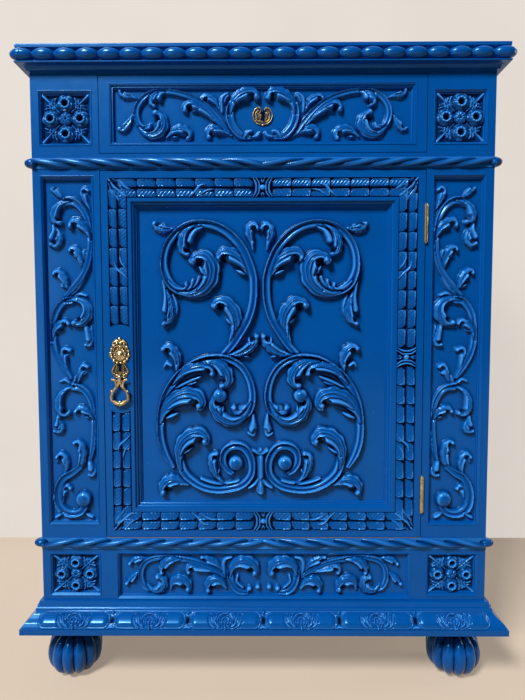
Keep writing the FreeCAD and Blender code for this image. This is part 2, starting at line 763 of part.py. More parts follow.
def make_leaf(bottom, on_door):
    """One leaf let into its edge, with its own knuckles and room for the other's."""
    if on_door:
        outer = half_opening - door_gap
        plate = block(outer - hinge_leaf_thickness, outer, hinge_axis_y,
                      front_y + hinge_leaf_depth, bottom, bottom + hinge_length)
    else:
        plate = block(half_opening, half_opening + hinge_leaf_thickness, hinge_axis_y,
                      front_y + hinge_leaf_depth, bottom, bottom + hinge_length)
    for low, high in knuckle_spans(bottom, not on_door):
        plate = plate.cut(barrel(knuckle_radius + leaf_clearance, low - knuckle_gap,
                                 high + knuckle_gap))
    for low, high in knuckle_spans(bottom, on_door):
        plate = plate.fuse(barrel(knuckle_radius, low, high))
    bore = barrel(pin_radius + pin_play, bottom - cut_over, bottom + hinge_length + cut_over)
    return one_solid(plate.cut(bore).removeSplitter())


def make_pin(bottom):
    """A round hinge pin with a small chamfered head at the top and the bottom."""
    foot = vector(hinge_axis_x, hinge_axis_y, bottom)
    head = pin_head_radius
    shank = Part.makeCylinder(pin_radius, hinge_length, foot)
    levels = [(head, 0), (head, head / 2), (head / 2, head)]
    lower = turned(levels, foot, vector(0, 0, -1), barrel_side_count)
    upper = turned(levels, foot + vector(0, 0, hinge_length), vector(0, 0, 1),
                   barrel_side_count)
    return one_solid(shank.fuse([lower, upper]).removeSplitter())


# Door

def ring_prism(outer_inset, inner_inset, y0, y1):
    """A rectangular ring on the door between two insets from its edge."""
    rings = []
    for inset in (outer_inset, inner_inset):
        half = door_half - inset
        rings.append(block(-half, half, y0, y1, door_bottom + inset, door_top - inset))
    return rings[0].cut(rings[1])


def door_cuts():
    """The band's channel in the front and the panel's rebate in the back."""
    channel = ring_prism(door_margin, door_margin + band_width,
                         front_y - cut_over, front_y + band_depth)
    rebate = ring_prism(frame_width - door_panel_lap, frame_width,
                        front_y + door_panel_depth, front_y + door_thickness + cut_over)
    return channel, rebate


def make_door_stile(side):
    inner = door_half - frame_width
    stile = block(inner, door_half, front_y, front_y + door_thickness,
                  door_bottom, door_top)
    if side == "left":
        stile = mirrored(stile)
    for cut in door_cuts():
        stile = stile.cut(cut)
    if side == "right":
        for bottom in hinge_heights:
            stile = stile.cut(block(door_half - hinge_leaf_thickness, door_half + cut_over,
                                    front_y - cut_over, front_y + hinge_leaf_depth,
                                    bottom, bottom + hinge_length))
            stile = stile.cut(barrel(knuckle_radius + leaf_clearance, bottom,
                                     bottom + hinge_length))
    return one_solid(stile)


def make_door_rail(bottom):
    inner = door_half - frame_width
    rail = block(-inner, inner, front_y, front_y + door_thickness, bottom,
                 bottom + frame_width)
    for cut in door_cuts():
        rail = rail.cut(cut)
    return one_solid(rail)


def make_door_panel():
    inset = frame_width - door_panel_lap
    half = door_half - inset
    return block(-half, half, front_y + door_panel_depth,
                 front_y + door_panel_depth + door_panel_thickness,
                 door_bottom + inset, door_top - inset)


def mitred_ring(section, inset):
    """Four mitred lengths of one section, which gives distance inward from inset and depth."""
    half = door_half - inset
    low = door_bottom + inset
    high = door_top - inset
    sides = [(vector(-half, 0, low), vector(half, 0, low)),
             (vector(half, 0, low), vector(half, 0, high)),
             (vector(half, 0, high), vector(-half, 0, high)),
             (vector(-half, 0, high), vector(-half, 0, low))]
    lengths = []
    for start, end in sides:
        run = (end - start).normalize()
        inward = vector(-run.z, 0, run.x)
        rings = []
        for corner, lead in ((start, run), (end, run * -1)):
            rings.append([corner + (inward + lead) * across + vector(0, front_y + depth, 0)
                          for across, depth in section])
        lengths.append(faceted(rings))
    return one_solid(lengths[0].fuse(lengths[1:]).removeSplitter())


def make_panel_moulding():
    section = [(panel_moulding_width * across, door_panel_depth * deep)
               for across, deep in panel_moulding_shares]
    return mitred_ring(section, frame_width)


def make_band():
    """The cushioned band in its channel, plain and flat where the escutcheon sits."""
    section = [(band_width * across, band_depth * deep) for across, deep in band_shares]
    ring = mitred_ring(section, door_margin)
    left = -door_half + door_margin
    pad_bottom = keyhole_height - plain_pad_drop
    pad = block(left, left + band_width, front_y, front_y + band_depth, pad_bottom,
                pad_bottom + plain_pad_height)
    return one_solid(ring.fuse(pad).removeSplitter())


def keyhole(x, height, y0, y1):
    """A round hole with a slot below it, for a key."""
    hole = Part.makeCylinder(keyhole_radius, y1 - y0, vector(x, y0, height), vector(0, 1, 0))
    slot = block(x - keyhole_slot_width / 2, x + keyhole_slot_width / 2, y0, y1,
                 height - keyhole_slot_length, height)
    return hole.fuse(slot)


def oval_disc(x, height, half_width, half_height, y0, y1):
    """A flat oval plate with a chosen number of flats round its edge."""
    points = []
    for index in range(oval_side_count):
        turn = 2 * math.pi * index / oval_side_count
        points.append(vector(x + half_width * math.cos(turn), y0,
                             height + half_height * math.sin(turn)))
    return prism(points, vector(0, y1 - y0, 0))


def round_bar(radius, start, length):
    """A bar along X on the pivot line of the drop pull."""
    points = []
    for index in range(pivot_side_count):
        turn = 2 * math.pi * index / pivot_side_count
        points.append(vector(start, front_y - pull_pivot_reach + radius * math.cos(turn),
                             pull_pivot_height + radius * math.sin(turn)))
    return prism(points, vector(length, 0, 0))


def make_escutcheon():
    """Pierced oval shield with a crest and boss, a waist with scrolls, and two ears."""
    x = -band_middle
    back = front_y
    face = front_y - plate_thickness
    oval_half = oval_height / 2
    plate = oval_disc(x, oval_centre_height, plate_width / 2, oval_half, face, back)
    window = oval_disc(x, oval_centre_height, plate_width / 2 - oval_rim,
                       oval_half - oval_rim, face - cut_over, back + cut_over)
    web = block(x - oval_rim, x + oval_rim, face, back,
                oval_centre_height - oval_half + plate_thickness,
                oval_centre_height + oval_half - plate_thickness)
    plate = plate.cut(window).fuse(web)
    crest_base = oval_centre_height + oval_half - oval_rim
    plate_top = keyhole_height + plate_top_rise
    plate_bottom = keyhole_height - plate_bottom_drop
    shoulder = crest_width * crest_tip_share
    crest = prism([vector(x - crest_width / 2, face, crest_base),
                   vector(x + crest_width / 2, face, crest_base),
                   vector(x + shoulder, face, plate_top - plate_thickness),
                   vector(x, face, plate_top),
                   vector(x - shoulder, face, plate_top - plate_thickness)],
                  vector(0, plate_thickness, 0))
    neck = block(x - scroll_radius, x + scroll_radius, face, back, plate_bottom,
                 oval_centre_height - oval_half + oval_rim)
    plate = plate.fuse([crest, neck])
    scroll_height = (plate_bottom + keyhole_height) / 2
    for side in (-1, 1):
        plate = plate.fuse(oval_disc(x + side * scroll_spread, scroll_height, scroll_radius,
                                     scroll_radius, face, back))
    plate = plate.cut(keyhole(x, keyhole_height, face - cut_over, back + cut_over))
    boss = turned([(boss_radius * out, boss_height * up) for out, up in boss_level_shares],
                  vector(x, back, oval_centre_height), vector(0, -1, 0), boss_side_count)
    plate = plate.fuse(boss)
    for side in (-1, 1):
        near = x + side * (pull_eye_width / 2 + pull_ear_gap)
        far = near + side * pull_ear_width
        ear = block(min(near, far), max(near, far), front_y - pull_pivot_reach, back,
                    pull_pivot_height - pull_ear_radius, pull_pivot_height + pull_ear_radius)
        tip = round_bar(pull_ear_radius, min(near, far), pull_ear_width)
        plate = plate.fuse([ear, tip])
    reach = pull_eye_width / 2 + pull_ear_gap + pull_ear_width
    pin = Part.makeCylinder(pull_pin_radius, reach + reach,
                            vector(x - reach, front_y - pull_pivot_reach, pull_pivot_height),
                            vector(1, 0, 0))
    return one_solid(plate.fuse(pin).removeSplitter())


def pull_route():
    """Points of the loop's centre line from its left top round the bottom to its right top."""
    x = -band_middle
    turn = pull_width / 2 - pull_wire_radius
    centre_height = keyhole_height - pull_drop + pull_wire_radius + turn
    top_half = pull_eye_radius / 2
    rise = pull_pivot_height - centre_height
    lean = math.acos(turn / math.hypot(rise, top_half)) - math.atan2(top_half, rise)
    first = math.pi / 2 + lean
    sweep = 2 * math.pi - 2 * lean
    route = [(x - top_half, pull_pivot_height)]
    for index in range(pull_loop_count + 1):
        angle = first + sweep * index / pull_loop_count
        route.append((x + turn * math.cos(angle), centre_height + turn * math.sin(angle)))
    route.append((x + top_half, pull_pivot_height))
    return route


def make_pull():
    """A pear-shaped loop of round wire below a drilled eye."""
    y = front_y - pull_pivot_reach
    route = pull_route()
    rings = []
    for index, (x, height) in enumerate(route):
        before = route[max(index - 1, 0)]
        after = route[min(index + 1, len(route) - 1)]
        heading_in = math.atan2(height - before[1], x - before[0])
        heading_out = math.atan2(after[1] - height, after[0] - x)
        heading_in = heading_out if index == 0 else heading_in
        heading_out = heading_in if index == len(route) - 1 else heading_out
        half_turn = math.remainder(heading_out - heading_in, 2 * math.pi) / 2
        normal = heading_in + half_turn + math.pi / 2
        stretch = 1 / math.cos(half_turn)
        ring = []
        for flat in range(wire_side_count):
            angle = 2 * math.pi * flat / wire_side_count
            side = pull_wire_radius * math.cos(angle) * stretch
            ring.append(vector(x + side * math.cos(normal),
                               y + pull_wire_radius * math.sin(angle),
                               height + side * math.sin(normal)))
        rings.append(ring)
    loop = faceted(rings)
    eye_left = -band_middle - pull_eye_width / 2
    eye = round_bar(pull_eye_radius, eye_left, pull_eye_width)
    bore = round_bar(pull_pin_radius + pull_pin_play, eye_left - cut_over,
                     pull_eye_width + 2 * cut_over)
    left_room = block(eye_left - pull_width, eye_left, y - pull_width, y + pull_width,
                      pull_pivot_height - pull_ear_radius - pull_ear_gap, cabinet_top)
    right_room = left_room.translated(vector(pull_width + pull_eye_width, 0, 0))
    loop = loop.cut([left_room, right_room])
    return one_solid(eye.fuse(loop).cut(bore).removeSplitter())


def make_door_lock():
    """A rim lock case on the back of the door, open where its bolt runs out."""
    back = front_y + door_thickness
    left = -door_half
    case = block(left, left + lock_width, back, back + lock_depth,
                 keyhole_height - lock_height / 2, keyhole_height + lock_height / 2)
    middle = back + lock_depth / 2
    cavity = block(left - cut_over, left + lock_width - lock_wall,
                   middle - bolt_width / 2 - bolt_play, middle + bolt_width / 2 + bolt_play,
                   keyhole_height - bolt_height / 2 - bolt_play,
                   keyhole_height + bolt_height / 2 + bolt_play)
    return one_solid(case.cut(cavity))


def make_door_bolt():
    middle = front_y + door_thickness + lock_depth / 2
    left = -door_half + bolt_play
    return block(left, left + bolt_length, middle - bolt_width / 2, middle + bolt_width / 2,
                 keyhole_height - bolt_height / 2, keyhole_height + bolt_height / 2)


# Drawer

def make_drawer_front():
    board = block(-drawer_half, drawer_half, front_y, front_y + drawer_front_thickness,
                  drawer_low, drawer_high)
    left, right, bottom, top = drawer_field()
    outer = block(left, right, front_y - cut_over, front_y + drawer_step, bottom, top)
    inner = sunk_field(left + drawer_step_width, right - drawer_step_width,
                       bottom + drawer_step_width, top - drawer_step_width,
                       front_y + drawer_step, field_depth - drawer_step, field_bevel)
    return one_solid(board.cut(outer).cut(inner))


def make_drawer_bottom():
    """The drawer bottom, let into the sides by the groove depth."""
    half = side_outer - drawer_side_thickness + drawer_groove
    low = drawer_floor + drawer_bottom_lift
    return block(-half, half, front_y + drawer_front_thickness,
                 drawer_back_face - drawer_side_thickness, low,
                 low + drawer_bottom_thickness)


def make_drawer_side():
    side = block(side_outer - drawer_side_thickness, side_outer,
                 front_y + drawer_front_thickness, drawer_back_face, drawer_floor,
                 drawer_floor + drawer_side_height)
    return one_solid(side.cut(make_drawer_bottom()))


def make_drawer_back():
    half = side_outer - drawer_side_thickness
    return block(-half, half, drawer_back_face - drawer_side_thickness, drawer_back_face,
                 drawer_floor, drawer_floor + drawer_side_height)


def make_drawer_escutcheon():
    """A turned brass disc with a raised rim, on the floor of the sunk field."""
    seat = front_y + field_depth
    levels = [(drawer_plate_radius - drawer_plate_rim * inward, drawer_plate_thickness * up)
              for inward, up in drawer_plate_shares]
    disc = turned(levels, vector(0, seat, drawer_keyhole_height), vector(0, -1, 0),
                  oval_side_count)
    hole = keyhole(0, drawer_keyhole_height, seat - drawer_plate_thickness - cut_over,
                   seat + cut_over)
    return one_solid(disc.cut(hole))


def make_drawer_lock():
    back = front_y + drawer_front_thickness
    case = block(-lock_height / 2, lock_height / 2, back, back + lock_depth,
                 drawer_high - lock_width, drawer_high)
    middle = back + lock_depth / 2
    cavity = block(-bolt_height / 2 - bolt_play, bolt_height / 2 + bolt_play,
                   middle - bolt_width / 2 - bolt_play, middle + bolt_width / 2 + bolt_play,
                   drawer_high - lock_width + lock_wall, drawer_high + cut_over)
    return one_solid(case.cut(cavity))


def make_drawer_bolt():
    middle = front_y + drawer_front_thickness + lock_depth / 2
    top = drawer_high - bolt_play
    return block(-bolt_height / 2, bolt_height / 2, middle - bolt_width / 2,
                 middle + bolt_width / 2, top - bolt_length, top)


# Carving

def stroke_face(place, width_shares, point_shares, field_width):
    """A flat face along a smooth line, as wide at each place as the widths say."""
    centre = Part.BSplineCurve()
    centre.interpolate([place(u, v) for u, v in point_shares])
    count = round(len(point_shares) * stroke_sample_share)
    left = []
    right = []
    first = centre.FirstParameter
    span = centre.LastParameter - first
    for index in range(count):
        share = index / (count - 1)
        at = share * (len(width_shares) - 1)
        low = min(int(at), len(width_shares) - 2)
        mix = at - low
        width_share = width_shares[low] * (1 - mix) + width_shares[low + 1] * mix
        point = centre.value(first + span * share)
        heading = centre.tangent(first + span * share)[0]
        side = vector(-heading.z, 0, heading.x) * (width_share * field_width / 2)
        left.append(point + side)
        right.append(point - side)
    return Part.Face(closed_wire(left + right[::-1]))


def ball_face(place, ball_shares, field_width):
    u, v, radius_share = ball_shares
    centre = place(u, v)
    points = []
    for index in range(ball_side_count):
        turn = 2 * math.pi * index / ball_side_count
        spoke = vector(math.cos(turn), 0, math.sin(turn))
        points.append(centre + spoke * (radius_share * field_width))
    return Part.Face(closed_wire(points))


def inset_field(field, inset):
    left, right, bottom, top = field
    return left + inset, right - inset, bottom + inset, top - inset


def carving(field, floor_y, depth, stroke_shares, ball_shares=(), both_halves=True):
    """Scrolls and leaves that stand up from the floor of a field of the cabinet's front."""
    left, right, bottom, top = field

    def place(u, v):
        return vector(left + (right - left) * u, floor_y, top - (top - bottom) * v)
    faces = [stroke_face(place, widths, points, right - left)
             for widths, points in stroke_shares]
    faces += [ball_face(place, ball, right - left) for ball in ball_shares]
    if both_halves:
        faces += [mirrored(face) for face in faces]
    flat = faces[0].fuse(faces[1:]).removeSplitter()
    solids = [face.extrude(vector(0, -depth, 0)) for face in flat.Faces]
    return Part.makeCompound(solids)


def pilaster_carving():
    field = inset_field(field_places()["main"], field_bevel)
    # The strokes are drawn for the left pilaster and turned over for the right one.
    turned_shares = [(widths, [(1 - u, v) for u, v in points])
                     for widths, points in pilaster_stroke_shares]
    return carving(field, field_floor, field_carving_depth, turned_shares, (), False)


def make_rosette(field):
    """Four hollow flowers round a heart, on the floor of a square field."""
    left, right, bottom, top = field
    centre = vector((left + right) / 2, field_floor, (bottom + top) / 2)
    side = min(right - left, top - bottom)
    spread = rosette_spread_share * side
    pieces = []
    flower = rosette_flower_share * side
    hollow = rosette_hollow_share * side
    outward = vector(0, -1, 0)
    for across, up in ((1, 0), (-1, 0), (0, 1), (0, -1)):
        middle = centre + vector(across, 0, up) * spread
        petal = turned([(flower, 0), (flower, field_carving_depth / 2),
                        (flower * rosette_top_share, field_carving_depth)],
                       middle, outward, rosette_side_count)
        well = turned([(hollow, field_carving_depth / 2),
                       (hollow, field_carving_depth + cut_over)], middle, outward,
                      rosette_side_count)
        pieces.append(petal.cut(well))
    heart = rosette_heart_share * side
    centre_piece = turned([(heart, 0), (heart, field_carving_depth / 2),
                           (heart / 2, field_carving_depth)],
                          centre, outward, rosette_side_count)
    return one_solid(centre_piece.fuse(pieces).removeSplitter())


def rosette_pair(name):
    rosette = make_rosette(field_places()[name])
    return Part.makeCompound([mirrored(rosette), rosette])


def carving_parts():
    inset = frame_width + panel_moulding_width
    door_field = inset_field((-door_half, door_half, door_bottom, door_top), inset)
    right_carving = pilaster_carving()
    return {
        "door_panel_carving": carving(door_field, front_y + door_panel_depth,
                                      door_carving_depth, door_stroke_shares,
                                      door_ball_shares),
        "drawer_front_carving": carving(
            inset_field(drawer_field(), drawer_step_width + field_bevel), field_floor,
            field_carving_depth, drawer_stroke_shares),
        "frieze_carving": carving(inset_field(frieze_field(), field_bevel), field_floor,
                                  field_carving_depth, frieze_stroke_shares),
        "right_pilaster_carving": right_carving,
        "left_pilaster_carving": mirrored(right_carving),
        "upper_rosettes": rosette_pair("upper"),
        "lower_rosettes": rosette_pair("lower"),
    }


def carcass_parts():
    opening = half_opening
    upper_rope_bottom = divider_top - upper_rope_drop - upper_rope_height
    parts = {
        "top_board": make_top_board(),
        "left_pilaster": make_left_pilaster(),
        "right_pilaster": make_right_pilaster(),
        "right_side_frame": make_side_frame(),
        "right_side_panel": make_side_panel(),
        "back_panel": block(-side_inner, side_inner, back_inner, back_y, side_bottom,
                            core_bottom),
        "drawer_top_rail": block(-opening, opening, front_y, front_y + rail_depth,
                                 drawer_ceiling, core_bottom),
        "divider_rail": block(-opening, opening, front_y, pilaster_back, divider_bottom,
                              divider_top),
        "frieze_panel": make_frieze_panel(),
        "bottom_board": make_bottom_board(),
        "base_board": block(-half_body, half_body, front_y, back_y, base_bottom, side_bottom),
        "shelf": make_shelf(),
        "shelf_cleats": make_cleats(),
        "drawer_kickers": make_kickers(),
        "right_drawer_runner": make_runner(),
        "hinge_fixed_leaves": Part.makeCompound([make_leaf(low, False)
                                                 for low in hinge_heights]),
        "hinge_pins": Part.makeCompound([make_pin(low) for low in hinge_heights]),
    }
    parts["left_side_frame"] = mirrored(parts["right_side_frame"])
    parts["left_side_panel"] = mirrored(parts["right_side_panel"])
    parts["left_drawer_runner"] = mirrored(parts["right_drawer_runner"])
    for side in ("front", "left", "right"):
        parts["cornice_" + side] = make_cornice(side)
        parts["base_" + side] = make_base_moulding(side)
    parts["upper_rope_front"] = make_rope("front", upper_rope_bottom, upper_rope_height,
                                          upper_rope_reach)
    parts["lower_rope_front"] = make_rope("front", sill_bottom, sill_height, lower_rope_reach)
    returns = []
    for side in ("left", "right"):
        returns.append(make_rope(side, upper_rope_bottom, upper_rope_height,
                                 upper_rope_reach))
        returns.append(make_rope(side, sill_bottom, sill_height, lower_rope_reach))
    parts["rope_returns"] = Part.makeCompound(returns)
    foot_ys = {"front": front_y + foot_inset_y, "rear": back_y - foot_rear_inset}
    for row, y in foot_ys.items():
        parts[row + "_left_foot"] = make_foot(-foot_x, y)
        parts[row + "_right_foot"] = make_foot(foot_x, y)
    return parts


def door_parts():
    return {
        "door_left_stile": make_door_stile("left"),
        "door_right_stile": make_door_stile("right"),
        "door_top_rail": make_door_rail(door_top - frame_width),
        "door_bottom_rail": make_door_rail(door_bottom),
        "door_panel": make_door_panel(),
        "door_panel_moulding": make_panel_moulding(),
        "door_band": make_band(),
        "door_escutcheon": make_escutcheon(),
        "drop_pull": make_pull(),
        "door_lock_case": make_door_lock(),
        "door_bolt": make_door_bolt(),
        "hinge_door_leaves": Part.makeCompound([make_leaf(low, True)
                                                for low in hinge_heights]),
    }


def drawer_parts():
    parts = {
        "drawer_front": make_drawer_front(),
        "drawer_right_side": make_drawer_side(),
        "drawer_back": make_drawer_back(),
        "drawer_bottom": make_drawer_bottom(),
        "drawer_escutcheon": make_drawer_escutcheon(),
        "drawer_lock_case": make_drawer_lock(),
        "drawer_bolt": make_drawer_bolt(),
    }
    parts["drawer_left_side"] = mirrored(parts["drawer_right_side"])
    return parts


def main():
    os.makedirs("parts", exist_ok=True)
    parts = {}
    parts.update(carcass_parts())
    parts.update(door_parts())
    parts.update(drawer_parts())
    parts.update(carving_parts())
    for name, shape in parts.items():
        if not shape.isValid():
            print("not valid:", name)
        print(name, len(shape.Solids), round(shape.Volume))
        shape.exportStep("parts/" + name + ".step")


main()
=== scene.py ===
import json
import math

import bpy
import numpy as np
from mathutils import Matrix, Vector


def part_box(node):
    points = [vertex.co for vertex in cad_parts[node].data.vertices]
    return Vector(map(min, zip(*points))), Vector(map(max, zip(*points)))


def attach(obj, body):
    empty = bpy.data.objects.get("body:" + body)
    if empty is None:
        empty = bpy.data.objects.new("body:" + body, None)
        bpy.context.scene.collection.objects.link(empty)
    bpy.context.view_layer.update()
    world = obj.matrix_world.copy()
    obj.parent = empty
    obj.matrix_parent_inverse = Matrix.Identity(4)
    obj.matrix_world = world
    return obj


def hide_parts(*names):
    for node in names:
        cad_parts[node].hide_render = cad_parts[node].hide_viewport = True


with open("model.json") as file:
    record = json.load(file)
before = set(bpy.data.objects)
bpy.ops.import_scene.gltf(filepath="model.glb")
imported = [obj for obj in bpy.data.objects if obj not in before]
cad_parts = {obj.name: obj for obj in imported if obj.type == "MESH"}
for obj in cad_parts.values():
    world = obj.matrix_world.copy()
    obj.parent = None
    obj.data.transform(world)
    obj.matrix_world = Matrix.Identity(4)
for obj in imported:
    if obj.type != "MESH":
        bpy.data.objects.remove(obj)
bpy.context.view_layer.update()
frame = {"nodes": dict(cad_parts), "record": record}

# The looks of a carved cabinet, painted blue. Sizes are in millimetres, turned into metres by MM.
MM = 0.001

# The photographer's place, in the cabinet's frame
camera_place = (4.0, -917.0, 526.0)
camera_pitch_down = 3.44
camera_turn = 0.37
camera_roll = -0.1
camera_lens = 27.05

# The faces that the carving stands on, read from the frame
front_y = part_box("drawer_front")[0].y / MM
back_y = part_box("back_panel")[1].y / MM
half_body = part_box("right_pilaster")[1].x / MM
panel_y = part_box("door_panel")[0].y / MM
cornice_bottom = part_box("cornice_front")[0].z / MM
base_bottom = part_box("base_front")[0].z / MM
base_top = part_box("base_front")[1].z / MM
sill_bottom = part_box("lower_rope_front")[0].z / MM
sill_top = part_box("lower_rope_front")[1].z / MM
divider_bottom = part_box("divider_rail")[0].z / MM
field_depth = 7.0
field_y = front_y + field_depth


# Materials

def new_material(name):
    """A material with its nodes cleared down to a shader and an output."""
    made = bpy.data.materials.new(name)
    made.use_nodes = True
    tree = made.node_tree
    tree.nodes.clear()
    shader = tree.nodes.new("ShaderNodeBsdfPrincipled")
    output = tree.nodes.new("ShaderNodeOutputMaterial")
    tree.links.new(shader.outputs["BSDF"], output.inputs["Surface"])
    return made, tree, shader


def feed(tree, target, inputs):
    """Gives a node's inputs their values, or links them to the sockets given."""
    for key, value in dict(inputs).items():
        if isinstance(value, bpy.types.NodeSocket):
            tree.links.new(value, target.inputs[key])
        else:
            target.inputs[key].default_value = value


def node(tree, kind, settings=(), inputs=()):
    """One node with its settings and inputs."""
    made = tree.nodes.new(kind)
    for key, value in dict(settings).items():
        setattr(made, key, value)
    feed(tree, made, inputs)
    return made


def ramp(tree, factor, stops):
    made = tree.nodes.new("ShaderNodeValToRGB")
    tree.links.new(factor, made.inputs["Fac"])
    elements = made.color_ramp.elements
    while len(elements) < len(stops):
        elements.new(0.5)
    for element, (place, colour) in zip(elements, stops):
        element.position = place
        element.color = (*colour, 1.0)
    return made.outputs["Color"]


def noise(tree, coordinates, scale, detail=3.0, roughness=0.5):
    return node(tree, "ShaderNodeTexNoise", {}, {
        "Vector": coordinates, "Scale": scale, "Detail": detail,
        "Roughness": roughness}).outputs["Fac"]


def grey_ramp(tree, factor, stops):
    return ramp(tree, factor, [(place, (level,) * 3) for place, level in stops])


def mix_colour(tree, factor, first, second):
    return node(tree, "ShaderNodeMix", {"data_type": "RGBA"},
                {0: factor, 6: first, 7: second}).outputs[2]


def math_node(tree, operation, first, second=0.0, clamp=False):
    return node(tree, "ShaderNodeMath", {"operation": operation, "use_clamp": clamp},
                {0: first, 1: second}).outputs[0]


def object_place(tree):
    return node(tree, "ShaderNodeTexCoord").outputs["Object"]


def mark(tree, name):
    """One of the marks that a mesh carries for its finish: painted shade in hollows and painted highlight
    on ridges of the paint, patina in the hollows of the brass.
    """
    return node(tree, "ShaderNodeAttribute", {"attribute_name": name}).outputs["Fac"]


def bump(tree, height, strength, distance):
    return node(tree, "ShaderNodeBump", {}, {
        "Height": height, "Strength": strength, "Distance": distance}).outputs["Normal"]


def blue_paint():
    """Satin enamel over carved wood, with painted shade darkening its hollows and a painted highlight
    lightening its ridges.
    """
    made, tree, shader = new_material("blue_enamel_paint")
    place = object_place(tree)
    hollow = mark(tree, "hollow")
    stroke = noise(tree, place, 70.0)
    body = ramp(tree, noise(tree, place, 9.0), [(0.3, (0.0, 0.067, 0.295)),
                                                (0.7, (0.0, 0.077, 0.333))])
    # Painted shade: near-black blue mixed in where the hollow mark is high
    with_painted_shade = mix_colour(tree, hollow, body, (0.0, 0.006, 0.035, 1.0))
    # Painted highlight: pale blue mixed in where the ridge mark is high
    with_painted_highlight = mix_colour(tree, math_node(tree, "MULTIPLY", mark(tree, "ridge"), 0.85), with_painted_shade,
                      (0.05, 0.31, 0.86, 1.0))
    relief = math_node(tree, "ADD", math_node(tree, "MULTIPLY", stroke, 0.3),
                       math_node(tree, "MULTIPLY", noise(tree, place, 420.0, 2.0), 0.25))
    # The socket's own level is what the exported model keeps in place of the link
    shader.inputs["Specular IOR Level"].default_value = 0.6
    feed(tree, shader, {
        "Base Color": with_painted_highlight, "Normal": bump(tree, relief, 0.05, 0.0004),
        "Roughness": grey_ramp(tree, stroke, ((0.2, 0.23), (0.8, 0.28))),
        "Specular IOR Level": grey_ramp(tree, hollow, ((0.0, 0.62), (0.8, 0.06))),
        "Specular Tint": (0.14, 0.54, 1.0, 1.0), "Coat Weight": 0.11, "Coat Roughness": 0.11})
    return made


def bare_wood():
    """Plain softwood inside the cabinet and on its back, with its grain along X."""
    made, tree, shader = new_material("bare_inner_wood")
    place = object_place(tree)
    stretched = node(tree, "ShaderNodeMapping", {}, {"Vector": place, "Scale": (1.2, 14.0, 14.0)})
    wave = node(tree, "ShaderNodeTexWave", {"wave_type": "BANDS", "bands_direction": "Z"}, {
        "Vector": stretched.outputs["Vector"], "Scale": 1.6, "Distortion": 7.0,
        "Detail": 3.0, "Detail Scale": 1.4}).outputs["Fac"]
    fibre = node(tree, "ShaderNodeMapping", {}, {"Vector": place, "Scale": (9.0, 300.0, 300.0)})
    fleck = noise(tree, fibre.outputs["Vector"], 1.0)
    colour = ramp(tree, wave, [(0.0, (0.30, 0.17, 0.085)), (0.6, (0.40, 0.25, 0.13)),
                               (1.0, (0.47, 0.31, 0.17))])
    flecked = mix_colour(tree, math_node(tree, "MULTIPLY", fleck, 0.35), colour,
                         (0.22, 0.12, 0.06, 1.0))
    feed(tree, shader, {"Base Color": flecked, "Normal": bump(tree, fleck, 0.25, 0.0004),
                        "Roughness": grey_ramp(tree, fleck, ((0.0, 0.62), (1.0, 0.78)))})
    return made


def old_brass():
    """Cast brass, dull and brown in its hollows, its metal mottled lighter and darker."""
    made, tree, shader = new_material("aged_cast_brass")
    patina = noise(tree, object_place(tree), 160.0, 4.0, 0.6)
    metal = ramp(tree, patina, [(0.3, (0.27, 0.19, 0.10)), (0.5, (0.50, 0.39, 0.21)),
                                (0.7, (0.76, 0.65, 0.43))])
    aged = mix_colour(tree, mark(tree, "hollow"), metal, (0.022, 0.014, 0.008, 1.0))
    feed(tree, shader, {"Base Color": aged, "Normal": bump(tree, patina, 0.3, 0.0003),
                        "Roughness": grey_ramp(tree, patina, ((0.3, 0.46), (0.7, 0.24))),
                        "Metallic": 1.0})
    return made


def dark_iron():
    """Blackened lock iron with a mottled skin."""
    made, tree, shader = new_material("blackened_lock_iron")
    mottle = noise(tree, object_place(tree), 220.0, 4.0, 0.6)
    iron = ramp(tree, mottle, [(0.35, (0.035, 0.03, 0.028)), (0.7, (0.10, 0.088, 0.08))])
    feed(tree, shader, {"Base Color": iron, "Normal": bump(tree, mottle, 0.3, 0.0003),
                        "Roughness": grey_ramp(tree, mottle, ((0.3, 0.42), (0.7, 0.6))),
                        "Metallic": 0.5})
    return made


materials = {"blue_paint": blue_paint(), "plain_wood": bare_wood(),
             "antique_brass": old_brass(), "lock_iron": dark_iron()}


def finish_frame_nodes():
    """Every carried-over piece takes the material of its slot in the record."""
    for part in frame["record"]["subparts"]:
        slots = frame["nodes"][part["node"]].data.materials
        slots.clear()
        slots.append(materials[part["material_slot"]])


# Meshes

def piece(name, vertices, faces, body, slot, sharp=180.0, marks=None):
    """A new piece in the row frame; vertices are in millimetres."""
    mesh = bpy.data.meshes.new(name)
    mesh.from_pydata((np.asarray(vertices, float) * MM).tolist(), [], faces)
    mesh.validate()
    for key, values in (marks or {}).items():
        layer = mesh.attributes.new(key, "FLOAT", "POINT")
        layer.data.foreach_set("value", np.asarray(values, np.float32))
    mesh.materials.append(materials[slot])
    mesh.polygons.foreach_set("use_smooth", [True] * len(mesh.polygons))
    mesh.set_sharp_from_angle(angle=math.radians(sharp))
    made = bpy.data.objects.new(name, mesh)
    bpy.context.scene.collection.objects.link(made)
    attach(made, body)
    return made


def closed_grid(points, back, back_y=None):
    """A grid of places, a rim pushed back from it and a flat back, and which places the rim has."""
    rows, columns = points.shape[:2]
    index = np.arange(rows * columns).reshape(rows, columns)
    a, b = index[:-1, :-1].ravel(), index[:-1, 1:].ravel()
    c, d = index[1:, 1:].ravel(), index[1:, :-1].ravel()
    faces = np.stack([a, b, c, d], 1).tolist()
    rim = np.concatenate([index[0, :], index[1:, -1], index[-1, -2::-1], index[-2:0:-1, 0]])
    places = points.reshape(-1, 3)
    behind = places[rim] + np.asarray(back, float)
    if back_y is not None:
        behind[:, 1] = back_y
    start, count = len(places), len(rim)
    for k in range(count):
        after = (k + 1) % count
        faces.append([int(rim[after]), int(rim[k]), start + k, start + after])
    faces.append([start + k for k in range(count - 1, -1, -1)])
    return np.vstack([places, behind]), faces, rim


